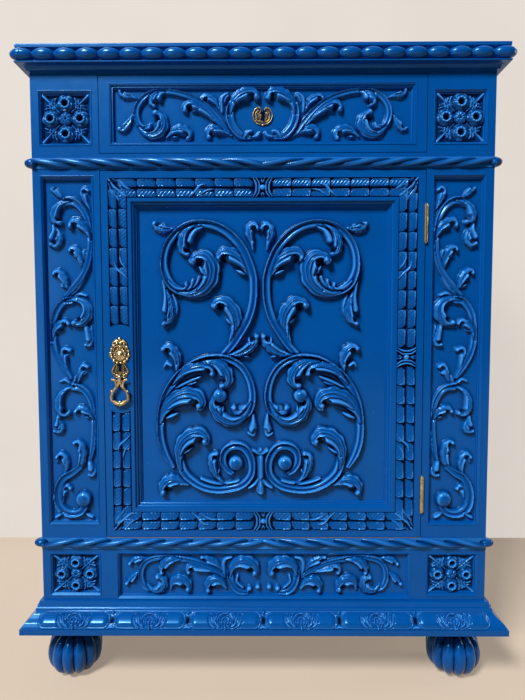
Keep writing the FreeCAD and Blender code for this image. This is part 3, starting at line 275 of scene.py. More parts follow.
def skin(name, points, back, body, marks, back_y=None):
    """A painted skin over a carved surface, closed behind; its marks carry painted shade and painted
    highlight for the paint.
    """
    places, faces, rim = closed_grid(points, back, back_y)
    values = {key: np.concatenate([grid.ravel(), grid.ravel()[rim]])
              for key, grid in marks.items()}
    return piece(name, places, faces, body, "blue_paint", 80.0, values)


# Carving: heights over the ground of a field, built up stroke by stroke

def smooth_line(points, step):
    """Evenly spaced places on a smooth line through given points."""
    given = np.array(points, float)
    ends = [2 * given[0] - given[1], 2 * given[-1] - given[-2]]
    all_points = np.vstack([ends[0], given, ends[1]])
    dense = []
    share = np.linspace(0, 1, 14, endpoint=False)[:, None]
    for a, b, c, d in zip(all_points[:-3], all_points[1:-2], all_points[2:-1], all_points[3:]):
        dense.append(0.5 * (2 * b + (c - a) * share + (2 * a - 5 * b + 4 * c - d) * share ** 2
                            + (3 * b - a - 3 * c + d) * share ** 3))
    dense = np.vstack(dense + [given[-1:]])
    run = np.concatenate([[0.0], np.cumsum(np.linalg.norm(np.diff(dense, axis=0), axis=1))])
    count = max(5, int(run[-1] / step))
    even = np.linspace(0, run[-1], count)
    return np.stack([np.interp(even, run, dense[:, k]) for k in (0, 1)], 1)


def blurred(grid, radius):
    """A grid smoothed by a box of this many cells, twice each way."""
    out = grid
    for _ in range(2):
        for axis in (0, 1):
            padded = np.pad(out, [(radius + 1, radius) if k == axis else (0, 0) for k in (0, 1)],
                            mode="edge")
            total = np.cumsum(padded, axis=axis)
            width = 2 * radius + 1
            if axis == 0:
                out = (total[width:] - total[:-width]) / width
            else:
                out = (total[:, width:] - total[:, :-width]) / width
    return out


# Cross-sections of a stroke from its plain edge to its rim: place across and share of height
sections = {
    "channel": ((-1.0, 0.56), (-0.9, 0.72), (-0.76, 0.56), (-0.4, 0.62), (-0.1, 0.54),
                (0.2, 0.42), (0.48, 0.34), (0.58, 0.44), (0.72, 1.0), (0.93, 1.04), (1.0, 0.95)),
    "bowl": ((-1.0, 0.50), (-0.7, 0.86), (-0.35, 1.0), (-0.08, 0.80), (0.06, 0.52),
             (0.26, 0.80), (0.40, 0.52), (0.58, 0.84), (0.72, 0.56), (0.88, 0.90),
             (1.0, 0.78)),
    "rib": ((-1.0, 0.5), (-0.7, 0.74), (-0.3, 0.84), (0.1, 0.86), (0.45, 0.92), (0.75, 1.0),
            (1.0, 0.85)),
    "leaf": ((-1.0, 0.40), (-0.84, 0.64), (-0.66, 0.50), (-0.36, 0.88), (-0.14, 0.70),
             (0.2, 1.0), (0.40, 0.84), (0.7, 1.0), (0.9, 0.8), (1.0, 0.5)),
    "dome": ((-1.0, 0.35), (-0.75, 0.66), (-0.4, 0.9), (0.0, 1.0), (0.4, 0.9), (0.75, 0.66),
             (1.0, 0.35))}


class Carving:
    """Heights over one rectangular field, from its lower left corner."""

    def __init__(self, width, height, cell):
        self.width = width
        self.tall = height
        self.cell = cell
        self.x = np.linspace(0, width, int(round(width / cell)) + 1)
        self.z = np.linspace(0, height, int(round(height / cell)) + 1)
        self.height = np.zeros((len(self.z), len(self.x)))
        # Painted shade and painted highlight for the paint, kept apart from the heights
        self.dark = np.zeros_like(self.height)
        self.light = np.zeros_like(self.height)

    def window(self, low, high):
        i0, i1 = np.searchsorted(self.x, (low[0], high[0]))
        j0, j1 = np.searchsorted(self.z, (low[1], high[1]))
        return slice(max(j0 - 1, 0), j1 + 1), slice(max(i0 - 1, 0), i1 + 1)

    def stroke(self, points, widths, tall, section="dome", rim=1, rise=(1.0, 1.0), cut=0.0,
               wall=1.3, ending=None, scallops=0, light=0.0):
        """Points and widths in millimetres; rim says on which side the high edge is."""
        line = smooth_line(points, self.cell * 0.6)
        count = len(line)
        share = np.linspace(0, 1, count)
        half = np.interp(share, np.linspace(0, 1, len(widths)), widths) / 2
        level = np.interp(share, np.linspace(0, 1, len(rise)), rise) * tall
        heading = np.gradient(line, axis=0)
        heading /= np.maximum(np.linalg.norm(heading, axis=1), 1e-9)[:, None]
        reach = half.max() * 1.15 + 2.5
        rows, columns = self.window(line.min(0) - reach, line.max(0) + reach)
        gx, gz = np.meshgrid(self.x[columns], self.z[rows])
        best = np.full(gx.shape, 1e9)
        nearest = np.zeros(gx.shape, int)
        for start in range(0, count, 8):
            part = line[start:start + 9]
            low, high = part.min(0) - reach, part.max(0) + reach
            a0, a1 = np.searchsorted(gx[0], (low[0], high[0]))
            b0, b1 = np.searchsorted(gz[:, 0], (low[1], high[1]))
            if a1 <= a0 or b1 <= b0:
                continue
            sub_x, sub_z = gx[b0:b1, a0:a1, None], gz[b0:b1, a0:a1, None]
            far = (sub_x - part[:, 0]) ** 2 + (sub_z - part[:, 1]) ** 2
            pick = far.argmin(2)
            near = np.take_along_axis(far, pick[..., None], 2)[..., 0]
            better = near < best[b0:b1, a0:a1]
            best[b0:b1, a0:a1][better] = near[better]
            nearest[b0:b1, a0:a1][better] = (pick + start)[better]
        apart = np.sqrt(best)
        off_x, off_z = gx - line[nearest, 0], gz - line[nearest, 1]
        across = (heading[nearest, 0] * off_z - heading[nearest, 1] * off_x) * rim
        width = np.maximum(half[nearest], 0.05)
        along = share[nearest]
        if scallops:
            wave = np.abs(np.cos(along * math.pi * scallops))
            outer = np.clip(-across / width * 1.6, 0, 1) * np.clip(along * 3 - 0.6, 0, 1)
            width = width * (1 + (0.16 * wave - 0.10) * outer)
        edge = width - apart
        shares = np.array(sections[section])
        profile = np.interp(across / width, shares[:, 0], shares[:, 1])
        if ending:
            shares = np.array(sections[ending[0]])
            other = np.interp(across / width, shares[:, 0], shares[:, 1])
            blend = np.clip((along - ending[1]) / (ending[2] - ending[1]), 0, 1)
            profile = profile * (1 - blend) + other * blend
        ease = np.clip(edge / np.minimum(wall, width * 0.8), 0, 1)
        made = level[nearest] * profile * np.sqrt(ease * (2 - ease))
        here = self.height[rows, columns]
        if cut:
            lowered = np.clip(1 + edge / 1.6, 0, 1) * (edge < 0) * cut
            here = np.where(edge < 0, np.maximum(here - lowered, 0), here)
            made = np.where(edge > 0, np.maximum(made, here * 0.55), made)
        self.height[rows, columns] = np.where(edge > 0, made if cut else np.maximum(here, made),
                                              here)
        # A cut stroke clears the painted shade under it and lays its own painted highlight
        if cut:
            self.dark[rows, columns][edge > 0.3] = 0.0
            self.light[rows, columns][edge > 0.3] = light

    def pit(self, x, z, radius, depth):
        """A round hollow with soft sides, painted dark inside as shade."""
        rows, columns = self.window((x - radius, z - radius), (x + radius, z + radius))
        gx, gz = np.meshgrid(self.x[columns], self.z[rows])
        far = np.clip(np.hypot(gx - x, gz - z) / radius, 0, 1)
        cut = depth * np.clip((1 - far ** 2) * 1.6, 0, 1)
        dark = self.dark[rows, columns]
        self.dark[rows, columns] = np.maximum(dark, np.clip((1 - far ** 2) * 1.5, 0, 1))
        self.height[rows, columns] = np.maximum(self.height[rows, columns] - cut, 0.0)

    def ball(self, x, z, radius, tall, base=0.0):
        """A boss that stands on a straight edge as high as its base."""
        low, high = (x - radius - 2, z - radius - 2), (x + radius + 2, z + radius + 2)
        rows, columns = self.window(low, high)
        gx, gz = np.meshgrid(self.x[columns], self.z[rows])
        far = np.hypot(gx - x, gz - z)
        inside = np.clip(1 - (far / radius) ** 2, 0, 1)
        made = base * (inside > 0) + (tall - base) * np.sqrt(inside)
        here = self.height[rows, columns]
        self.height[rows, columns] = np.where(far < radius, np.maximum(here, made), here)

    def groove(self, points, width, depth):
        """A V cut along a line, through whatever stands there."""
        line = smooth_line(points, self.cell * 0.6)
        reach = width
        rows, columns = self.window(line.min(0) - reach, line.max(0) + reach)
        gx, gz = np.meshgrid(self.x[columns], self.z[rows])
        far = np.full(gx.shape, 1e9)
        for x, z in line:
            far = np.minimum(far, (gx - x) ** 2 + (gz - z) ** 2)
        cut = np.clip(1 - np.sqrt(far) / (width / 2), 0, 1) * depth
        self.height[rows, columns] = np.maximum(self.height[rows, columns] - cut, 0)

    def marks(self):
        """Painted shade in the surface's hollows and painted highlight on its ridges, as marks for the
        paint.
        """
        smooth = blurred(self.height, 1)
        around = blurred(self.height, max(1, int(round(2.6 / self.cell))))
        wide = blurred(self.height, max(1, int(round(6.0 / self.cell))))
        # Painted shade: darker where the surface lies below its blurred surroundings, weaker on the bare
        # ground
        hollow = np.clip((around - smooth) / 2.2, 0, 1) * 0.85
        hollow += np.clip((wide - smooth) / 4.2, 0, 1) * 0.6
        hollow *= 0.45 + 0.55 * np.clip((smooth - 0.3) / 0.8, 0, 1)
        # Painted highlight where the surface stands above its surroundings; the painted shade and
        # highlight laid by strokes are added in
        ridge = np.clip((smooth - around) / 1.5 - 0.38, 0, 1)
        hollow = np.maximum(hollow, blurred(self.dark, 1))
        return {"hollow": np.clip(hollow, 0, 1),
                "ridge": np.clip(ridge + blurred(self.light, 1), 0, 1)}

    def grid(self, left, bottom, ground_y):
        """Places of the surface, facing the front of the cabinet."""
        gx, gz = np.meshgrid(self.x, self.z)
        heights = blurred(self.height, 1) * 0.4 + self.height * 0.6
        return np.stack([left + gx, ground_y - heights, bottom + gz], 2)


def leaf(field, points, width, tall, lobes=()):
    """An acanthus leaf: outer flutes, a turned-over lip inside, and a tip hooked round a hollow."""
    steps = np.diff(np.array(points), axis=0)
    turning = sum(a[0] * b[1] - a[1] * b[0] for a, b in zip(steps[:-1], steps[1:]))
    rim = 1 if turning > 0 else -1
    field.stroke(points, (width * 0.24, width * 0.48, width * 0.80, width * 1.02, width * 1.06,
                          width * 0.98, width * 0.62), tall, "leaf", rim,
                 (0.55, 0.8, 1.0, 1.0, 0.92), cut=2.6, wall=1.2, scallops=6)
    line = smooth_line(points, 0.5)
    heading = np.gradient(line, axis=0)
    heading /= np.maximum(np.linalg.norm(heading, axis=1), 1e-6)[:, None]
    inward = np.stack([-heading[:, 1], heading[:, 0]], 1) * rim
    count = len(line)

    def beside(share, off):
        k = min(int(count * share), count - 1)
        return line[k] + inward[k] * off * width

    lip = [beside(share, off) for share, off in ((0.26, 0.12), (0.42, 0.24), (0.58, 0.33),
                                                 (0.74, 0.35))]
    # The lip carries a painted highlight
    field.stroke(lip, (width * 0.10, width * 0.28, width * 0.42, width * 0.44), tall * 1.14,
                 rise=(0.8, 1.0), cut=1.6, wall=1.0, light=0.6)
    hollow = beside(0.91, 0.42)
    # The hollow under the tip is cut and painted dark as shade
    field.pit(hollow[0], hollow[1], width * 0.35, tall * 1.5)
    knob = line[-1] + inward[-1] * width * 0.04
    field.ball(knob[0], knob[1], width * 0.20, tall * 1.0, tall * 0.45)
    for x, z in lobes:
        k = int(np.argmin(np.hypot(line[:, 0] - x, line[:, 1] - z)))
        toward = np.array([x, z]) - line[k]
        reach = max(np.linalg.norm(toward), 1e-6)
        toward = toward / reach
        size = width * 0.15
        root = line[k] + toward * width * 0.36 - heading[k] * width * 0.32
        crest = line[k] + toward * (width * 0.52 + size * 0.5)
        tip = line[k] + toward * (width * 0.62 + size) + heading[k] * width * 0.26
        field.stroke((root, crest, tip), (size * 0.8, size * 2.1, size * 0.7), tall * 0.86,
                     rise=(0.9, 0.7), cut=1.0, wall=1.0)


def draw(field, kind, spots, size, lift, extra):
    """One entry of a carving table."""
    bold = [s * {"scroll": 1.24, "leaf": 1.08, "drop": 1.2, "rib": 1.2, "ball": 1.1}[kind]
            for s in size]
    if kind == "scroll":
        field.stroke(spots, bold, lift, "channel", extra["rim"], extra.get("rise", (0.8, 1.0)),
                     cut=2.2, wall=2.0, ending=extra.get("ending", ("bowl", 0.66, 0.8)))
    elif kind == "rib":
        field.stroke(spots, bold, lift, "rib", extra["rim"], (0.9, 1.0), cut=1.2)
    elif kind == "drop":
        # Drops carry a faint painted highlight
        field.stroke(spots, bold, lift, "dome", extra["rim"], (0.7, 1.0), cut=1.6, light=0.25)
    elif kind == "leaf":
        leaf(field, spots, bold[0], lift, extra["lobes"])
    elif kind == "ball":
        field.ball(spots[0][0], spots[0][1], bold[0], lift, lift * 0.35)


def carve(field, entries, middle=0.5):
    """Draws a table of strokes with their mirror images."""
    for entry in entries:
        for flip in (False, True):
            draw(field, *placed(entry, field.width, field.tall, flip, middle))


def placed(entry, width, tall, flip, middle=0.5):
    """A table entry with its places turned into millimetres, mirrored if flip is set."""
    kind, points, size, lift, *more = entry
    extra = more[0] if more else {}
    side = -1 if flip else 1

    def spot(place):
        u, v = (thousandths / 1000 for thousandths in place)
        return ((2 * middle - u if flip else u) * width, (1 - v) * tall)

    return kind, [spot(p) for p in points], size, lift, dict(
        extra, lobes=[spot(p) for p in extra.get("lobes", ())],
        rim=side * extra.get("rim", 1))


# Tables of the carving's strokes: kind, places, widths and height in millimetres, and extras.
# A place is in thousandths of its field's width and height, from the top left corner.
early_channel = ("channel", 0.7, 0.8)
late_channel = ("channel", 0.8, 0.9)

door_carving = (
    ("leaf", ((150, 65), (124, 68), (98, 69), (75, 63), (63, 52)), (10.5,), 6.0,
     {"lobes": ((105, 54),)}),
    ("leaf", ((338, 491), (367, 461), (386, 425), (393, 389), (388, 357), (370, 330), (347, 314),
     (320, 313), (305, 323)), (17.5,), 9.0, {"lobes": ((363, 377),)}),
    ("leaf", ((460, 247), (447, 215), (425, 183), (394, 161), (362, 149), (335, 151), (318, 167)),
     (18.0,), 9.0, {"lobes": ((417, 208),)}),
    ("drop", ((95, 242), (107, 282), (108, 313), (104, 336)), (3.0, 6.0, 8.0, 9.0), 8.0),
    ("drop", ((135, 286), (147, 321), (145, 349), (135, 373)), (3.0, 6.0, 6.0, 4.0), 6.0),
    ("leaf", ((112, 270), (125, 305), (131, 341), (123, 371), (98, 388)), (10.0,), 8.0),
    ("scroll", ((338, 492), (372, 461), (401, 425), (425, 393), (445, 357), (458, 314), (462, 266),
     (459, 223), (442, 176), (419, 136), (388, 103), (351, 76), (308, 58), (266, 51), (223, 53),
     (186, 63), (150, 84), (122, 113), (106, 147), (101, 187), (109, 222), (130, 255), (164, 274),
     (202, 282)), (8.0, 9.5, 9.5, 9.5, 9.5, 10.0, 10.0, 9.5, 9.0, 8.5, 8.5, 10.0, 10.0), 9.5,
     {"rim": -1, "ending": early_channel}),
    ("leaf", ((233, 50), (197, 69), (178, 93), (173, 120), (179, 142), (197, 154)), (11.5,), 8.5),
    ("drop", ((256, 63), (230, 74), (215, 91), (209, 105)), (3.0, 6.0, 8.0, 8.5), 9.0),
    ("rib", ((117, 242), (143, 263), (173, 271), (193, 263), (189, 251)), (3.0, 4.5, 4.0, 3.5), 8.0),
    ("drop", ((197, 271), (214, 258), (217, 243)), (4.0, 5.5, 5.5), 8.0),
    ("drop", ((221, 263), (235, 248), (243, 231)), (4.0, 5.5, 5.0), 8.0),
    ("leaf", ((164, 282), (206, 288), (249, 276), (281, 248), (294, 212), (286, 180), (264, 163),
     (236, 162), (220, 172)), (21.0,), 10.0, {"lobes": ((260, 208),)}),
    ("leaf", ((460, 136), (453, 107), (444, 84), (448, 65), (465, 55), (480, 65)), (10.5,), 8.0),
    ("leaf", ((348, 495), (386, 491), (424, 481), (453, 463), (469, 445), (475, 432)), (12.5,), 9.0,
     {"lobes": ((431, 492), (451, 447))}),
    ("leaf", ((146, 554), (152, 522), (147, 494), (129, 473), (108, 465), (95, 471)), (13.0,), 8.5),
    ("drop", ((96, 533), (108, 521), (124, 529)), (3.0, 5.5, 4.0), 6.0),
    ("rib", ((135, 610), (169, 597), (203, 583), (244, 568)), (3.0, 4.5, 5.0, 3.0), 6.0),
    ("rib", ((155, 613), (188, 600), (227, 586)), (2.5, 4.0, 2.5), 5.0),
    ("leaf", ((450, 642), (440, 672), (418, 689), (391, 685), (381, 676)), (15.0,), 8.0),
    ("scroll", ((128, 881), (100, 839), (84, 798), (78, 757), (79, 717), (85, 676), (99, 635),
     (122, 599), (154, 566), (192, 540), (237, 519), (285, 507), (338, 505), (381, 516), (417, 540),
     (442, 575), (454, 613), (455, 648), (444, 681), (421, 705)), (5.0, 8.0, 8.5, 8.5, 8.5, 9.0, 10.0,
     11.0, 12.0, 10.0, 8.0, 8.0, 8.5, 9.0, 9.0), 9.5, {"ending": late_channel}),
    ("leaf", ((78, 725), (91, 690), (120, 658), (155, 638), (194, 630), (226, 636), (244, 652),
     (241, 668)), (21.5,), 9.5, {"lobes": ((130, 701),)}),
    ("leaf", ((130, 593), (166, 558), (213, 535), (256, 529), (285, 538), (294, 557)), (13.0,), 9.5),
    ("leaf", ((247, 513), (295, 517), (332, 535), (353, 562), (351, 586), (336, 599)), (17.0,), 9.5),
    ("leaf", ((452, 660), (428, 700), (392, 721), (356, 720), (324, 705), (305, 681), (298, 656),
     (308, 632)), (15.0,), 9.5, {"lobes": ((333, 682),)}),
    ("ball", ((324, 632),), (9.0,), 10.5),
    ("leaf", ((189, 943), (155, 931), (122, 928), (99, 937), (87, 953), (85, 967)), (17.0,), 8.5),
    ("rib", ((243, 922), (281, 933), (320, 939), (359, 937), (400, 929)), (3.0, 4.5, 5.0, 4.5, 3.0),
     7.0),
    ("leaf", ((340, 939), (312, 918), (294, 889), (287, 860), (291, 840), (307, 834)), (11.0,), 7.5,
     {"lobes": ((308, 897),)}),
    ("scroll", ((372, 901), (352, 889), (336, 864), (338, 835), (358, 815), (389, 807), (420, 815),
     (443, 839), (453, 868), (451, 901), (433, 927), (403, 946), (359, 956), (310, 959), (257, 951),
     (210, 929), (176, 900), (158, 864), (154, 835)), (6.0, 8.0, 9.5, 10.0, 10.0, 9.0, 8.5, 8.5, 8.5,
     8.5, 8.5, 9.0, 10.0, 11.0), 9.5, {"ending": late_channel}),
    ("leaf", ((161, 889), (152, 852), (158, 815), (178, 786), (209, 768), (239, 765), (259, 775),
     (263, 789)), (19.0,), 10.0, {"lobes": ((189, 820),)}),
    ("ball", ((387, 866),), (9.5,), 10.0),
    ("drop", ((459, 696), (461, 723), (459, 744)), (3.0, 7.0, 11.5), 9.0),
    ("drop", ((468, 753), (459, 769), (441, 762)), (5.0, 6.0, 4.0), 7.0),
    ("drop", ((487, 825), (486, 864), (486, 913), (486, 963)), (6.0, 8.0, 8.0, 10.0), 6.5),
    ("drop", ((481, 835), (471, 829), (460, 823)), (5.0, 5.0, 4.0), 6.0),
    ("drop", ((478, 926), (463, 942), (442, 953)), (4.0, 6.0, 4.0), 6.0),
)

drawer_carving = (
    ("leaf", ((81, 194), (61, 161), (43, 152), (30, 116), (24, 68)), (8.0,), 5.5),
    ("leaf", ((67, 489), (57, 599), (45, 700), (31, 764), (22, 756)), (9.0,), 5.5),
    ("leaf", ((178, 905), (199, 804), (223, 754), (242, 785), (254, 856), (252, 927)), (12.0,), 7.0,
     {"lobes": ((204, 885),)}),
    ("leaf", ((397, 873), (372, 792), (346, 751), (329, 763), (320, 831), (320, 904)), (11.5,), 7.0),
    ("leaf", ((363, 465), (348, 294), (328, 193), (310, 163), (299, 203)), (8.5,), 6.0),
    ("drop", ((365, 445), (363, 284), (369, 180), (384, 117)), (3.0, 5.5, 5.5, 3.5), 6.0),
    ("drop", ((373, 275), (378, 205), (386, 161)), (2.5, 4.0, 3.0), 6.0),
    ("leaf", ((368, 747), (342, 586), (313, 434), (283, 327), (259, 290), (245, 338), (242, 406)),
     (12.5,), 7.5, {"lobes": ((279, 373),)}),
    ("scroll", ((385, 828), (362, 646), (331, 444), (302, 303), (270, 202), (235, 131), (198, 84),
     (161, 75), (128, 112), (102, 202), (84, 338), (79, 479), (84, 620), (97, 711), (117, 732)), (5.0,
     6.5, 6.5, 6.5, 6.5, 6.5, 7.0, 7.0, 7.0, 6.0), 8.0, {"rim": -1, "ending": early_channel}),
    ("leaf", ((87, 731), (108, 843), (137, 868), (160, 783), (168, 662), (161, 541), (145, 464)),
     (14.0,), 8.0),
    ("leaf", ((173, 63), (147, 109), (133, 199), (130, 279), (139, 339)), (8.5,), 7.0),
    ("drop", ((173, 95), (162, 129), (156, 191)), (3.0, 6.0, 7.0), 7.5),
    ("drop", ((108, 746), (121, 734), (125, 673)), (3.0, 4.5, 3.5), 7.0),
    ("scroll", ((457, 907), (429, 874), (406, 752), (393, 587), (391, 426), (400, 285), (417, 176)),
     (6.0, 9.0, 9.5, 9.5, 9.0, 9.0, 9.0), 8.0, {"ending": early_channel}),
    ("leaf", ((393, 466), (398, 325), (409, 225), (431, 130), (454, 90), (473, 115), (480, 179)),
     (15.0,), 8.5),
    ("drop", ((440, 900), (451, 824), (461, 804)), (4.0, 6.0, 4.5), 7.0),
    ("drop", ((470, 901), (484, 881), (490, 831)), (4.0, 5.5, 4.0), 7.0),
)

frieze_carving = (
    ("leaf", ((101, 117), (78, 112), (55, 139), (37, 228)), (8.5,), 5.5),
    ("ball", ((36, 239),), (2.8,), 6.0),
    ("leaf", ((70, 418), (56, 498), (40, 593), (27, 700)), (9.0,), 5.5),
    ("ball", ((23, 710),), (2.8,), 6.0),
    ("leaf", ((362, 460), (337, 240), (309, 130), (288, 85)), (10.0,), 5.5),
    ("drop", ((366, 500), (361, 260), (370, 120), (389, 80)), (4.0, 6.5, 6.0, 3.0), 5.5),
    ("leaf", ((177, 841), (180, 709), (195, 618), (217, 618), (234, 719), (239, 822)), (15.5,), 8.0),
    ("leaf", ((371, 821), (357, 688), (337, 617), (319, 649), (309, 760), (307, 848)), (14.5,), 8.0),
    ("leaf", ((354, 522), (321, 384), (290, 321), (264, 279), (246, 293), (238, 359), (240, 433)),
     (12.0,), 7.5),
    ("scroll", ((366, 556), (333, 403), (298, 279), (260, 192), (221, 137), (183, 103), (144, 98),
     (109, 146), (86, 257), (76, 426), (76, 598), (86, 757), (106, 842)), (4.0, 6.0, 6.5, 7.0, 7.0, 7.0,
     7.0, 7.0, 6.0), 7.5, {"rim": -1, "ending": early_channel}),
    ("leaf", ((215, 130), (187, 140), (162, 200), (149, 320), (146, 440)), (12.0,), 8.0),
    ("leaf", ((97, 740), (114, 860), (136, 850), (151, 740), (148, 600), (134, 540)), (13.0,), 8.0),
    ("scroll", ((445, 923), (418, 897), (398, 781), (387, 601), (384, 423)), (5.0, 7.5, 8.0, 8.0, 8.0),
     7.5, {"ending": early_channel}),
    ("leaf", ((385, 516), (391, 318), (410, 204), (434, 172), (457, 225), (470, 343), (472, 431)),
     (17.0,), 8.5),
    ("rib", ((410, 503), (407, 661), (429, 807)), (3.0, 4.5, 3.0), 6.0),
    ("ball", ((451, 820),), (3.6,), 6.5),
    ("ball", ((480, 780),), (3.6,), 6.5),
)

pilaster_carving = (
    ("leaf", ((453, 58), (344, 49), (264, 39), (177, 31)), (7.8,), 5.2),
    ("leaf", ((957, 90), (891, 72), (833, 53), (808, 38), (856, 30), (919, 34)), (8.4,), 5.8),
    ("leaf", ((818, 272), (780, 245), (729, 219), (649, 202), (553, 198), (524, 204)), (10.6,), 6.8,
     {"lobes": ((590, 223),)}),
    ("drop", ((891, 245), (853, 226), (814, 207)), (3.4, 6.7, 4.5), 6.3),
    ("leaf", ((518, 322), (438, 303), (386, 283), (305, 268), (209, 264), (180, 270)), (10.6,), 6.8,
     {"lobes": ((228, 310),)}),
    ("leaf", ((232, 135), (298, 154), (308, 173), (236, 188), (140, 187)), (10.1,), 6.8),
    ("drop", ((186, 130), (205, 148), (158, 165)), (3.4, 6.7, 7.8), 7.4),
    ("drop", ((516, 331), (658, 312), (750, 295), (802, 284)), (3.4, 5.0, 5.0, 3.4), 5.2),
    ("drop", ((571, 337), (712, 328), (836, 333)), (3.4, 5.0, 3.4), 5.2),
    ("scroll", ((390, 335), (561, 310), (719, 284), (834, 257), (908, 226), (941, 192), (946, 158),
     (915, 128), (853, 102), (752, 81), (616, 67), (465, 65), (326, 75)), (4.5, 7.8, 7.8, 7.8, 7.3, 7.3,
     7.3, 7.8, 9.0, 9.0), 7.9, {"rim": -1, "ending": early_channel}),
    ("leaf", ((953, 170), (879, 147), (771, 130), (648, 122), (565, 126), (544, 134)), (12.3,), 7.4),
    ("leaf", ((562, 64), (396, 68), (278, 80), (212, 98), (222, 116), (331, 126)), (11.2,), 7.9),
    ("leaf", ((934, 418), (929, 449), (898, 472), (813, 476)), (9.0,), 6.3),
    ("drop", ((783, 402), (834, 430), (872, 455)), (3.4, 6.7, 9.0), 6.8),
    ("leaf", ((504, 570), (395, 549), (337, 525), (324, 504), (377, 488), (467, 490)), (10.6,), 6.8),
    ("leaf", ((613, 588), (658, 568), (704, 549), (761, 537), (831, 539)), (10.1,), 6.8,
     {"lobes": ((772, 559),)}),
    ("drop", ((249, 582), (362, 577), (445, 586)), (3.4, 4.5, 3.4), 5.2),
    ("drop", ((514, 592), (564, 577), (588, 566)), (3.4, 5.0, 3.4), 5.2),
    ("scroll", ((481, 572), (300, 531), (180, 494), (131, 456), (143, 422), (185, 391), (274, 366),
     (388, 350), (528, 346)), (4.5, 6.7, 7.3, 7.3, 7.3, 7.8, 8.4, 9.0), 7.9, {"ending": early_channel}),
    ("leaf", ((117, 460), (164, 433), (279, 414), (391, 408), (460, 414)), (9.5,), 6.8,
     {"lobes": ((219, 433),)}),
    ("leaf", ((430, 347), (626, 343), (791, 352), (877, 372), (854, 393), (726, 410), (586, 413)),
     (13.4,), 8.4),
    ("drop", ((191, 670), (200, 694), (175, 710)), (3.4, 6.7, 9.0), 6.8),
    ("leaf", ((229, 694), (267, 714), (223, 727), (115, 729)), (9.0,), 6.3),
    ("leaf", ((913, 829), (934, 845), (895, 857), (824, 859)), (8.4,), 6.3),
    ("drop", ((817, 809), (843, 825), (861, 837)), (3.4, 6.7, 9.0), 6.8),
    ("leaf", ((340, 865), (512, 853), (644, 829), (705, 801), (689, 777), (613, 761), (533, 763)),
     (10.6,), 7.4, {"lobes": ((594, 789),)}),
    ("scroll", ((845, 813), (898, 781), (932, 745), (946, 710), (937, 674), (899, 643), (805, 617),
     (667, 602), (513, 598)), (4.5, 7.3, 7.3, 7.3, 7.3, 7.8, 7.8, 9.0), 7.9, {"rim": -1,
     "ending": early_channel}),
    ("leaf", ((934, 694), (858, 676), (741, 664), (629, 663), (565, 670)), (10.6,), 6.8,
     {"lobes": ((780, 688),)}),
    ("leaf", ((527, 596), (371, 604), (256, 620), (204, 643), (219, 666), (316, 678), (415, 676)),
     (10.6,), 7.9),
    ("leaf", ((255, 865), (329, 845), (347, 825), (308, 805), (224, 797), (146, 805)), (9.5,), 6.8,
     {"lobes": ((163, 825),)}),
    ("leaf", ((255, 945), (245, 921), (276, 903), (349, 893), (414, 899)), (9.0,), 6.3),
    ("scroll", ((629, 837), (455, 855), (282, 869), (179, 893), (145, 921), (177, 949), (279, 967),
     (449, 975), (621, 969), (709, 953)), (6.7, 9.0, 9.5, 10.1, 10.1, 9.0, 9.0), 7.9, {"rim": -1,
     "ending": early_channel}),
    ("ball", ((699, 931),), (10.1,), 8.9),
    ("drop", ((250, 974), (177, 979), (96, 986)), (3.4, 5.6, 3.9), 5.2),
    ("drop", ((735, 974), (805, 981), (867, 985)), (3.4, 5.6, 3.9), 5.2),
)

door_carving_middle = 0.4885
lift_off_ground = 0.15
rim_depth = 0.45


def carved_skin(name, field, left, bottom, ground_y, body, node_name):
    """A whole field's surface as one skin, a hair in front of its ground."""
    points = field.grid(left, bottom, ground_y - lift_off_ground)
    made = skin(name, points, (0, 0, 0), body, field.marks(), ground_y + rim_depth)
    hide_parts(node_name)


def carve_door_panel():
    half_width, bottom, top = 172.8, 265.1, 677.9
    field = Carving(2 * half_width, top - bottom, 0.8)
    carve(field, door_carving, door_carving_middle)
    field.height *= 1.52
    points = field.grid(-half_width, bottom, panel_y - lift_off_ground)
    marks = field.marks()
    across, up = points.shape[1] // 2, points.shape[0] // 2
    for name, rows, columns in (
            ("carved_panel_low_left", slice(0, up + 1), slice(0, across + 1)),
            ("carved_panel_low_right", slice(0, up + 1), slice(across, None)),
            ("carved_panel_high_left", slice(up, None), slice(0, across + 1)),
            ("carved_panel_high_right", slice(up, None), slice(across, None))):
        made = skin(name, points[rows, columns], (0, 0, 0), "door",
                    {key: grid[rows, columns] for key, grid in marks.items()},
                    panel_y + rim_depth)
        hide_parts("door_panel_carving")


def make_panel_moulding():
    """Three steps with a hollow and a bead between them, down to the sunk panel."""
    profile = ((0.0, 0.0), (0.9, 0.0), (1.7, 0.9), (1.9, 2.6), (3.0, 2.9), (4.2, 3.6), (5.2, 5.4),
               (5.5, 7.0), (6.7, 7.0), (7.3, 7.4), (7.5, 9.4), (8.7, 9.6), (9.6, 10.6),
               (10.0, 12.0))
    shape = framed((-182.8, 255.1, 182.8, 687.9), profile)
    made = piece("stepped_panel_moulding", *shape, "door", "blue_paint", 32.0)
    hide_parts("door_panel_moulding")


# Sunk fields: left edge, or inner edge on a pilaster, bottom, width and height
drawer_field = (-204.5, 766.5, 409.0, 73.5)
frieze_field = (-206.7, 127.0, 413.4, 62.1)
pilaster_fields = {"main": (235.7, 235.7, 67.0, 482.8), "upper": (235.7, 764.7, 67.0, 67.5),
                   "lower": (235.7, 131.7, 67.0, 56.6)}


def carve_drawer_and_frieze():
    for name, place, table, body, node_name in (
            ("carved_drawer_scrolls", drawer_field, drawer_carving, "drawer",
             "drawer_front_carving"),
            ("carved_frieze_scrolls", frieze_field, frieze_carving, "carcass",
             "frieze_carving")):
        left, bottom, width, tall = place
        field = Carving(width, tall, 0.8)
        carve(field, table)
        field.height *= 1.2
        carved_skin(name, field, left, bottom, field_y, body, node_name)


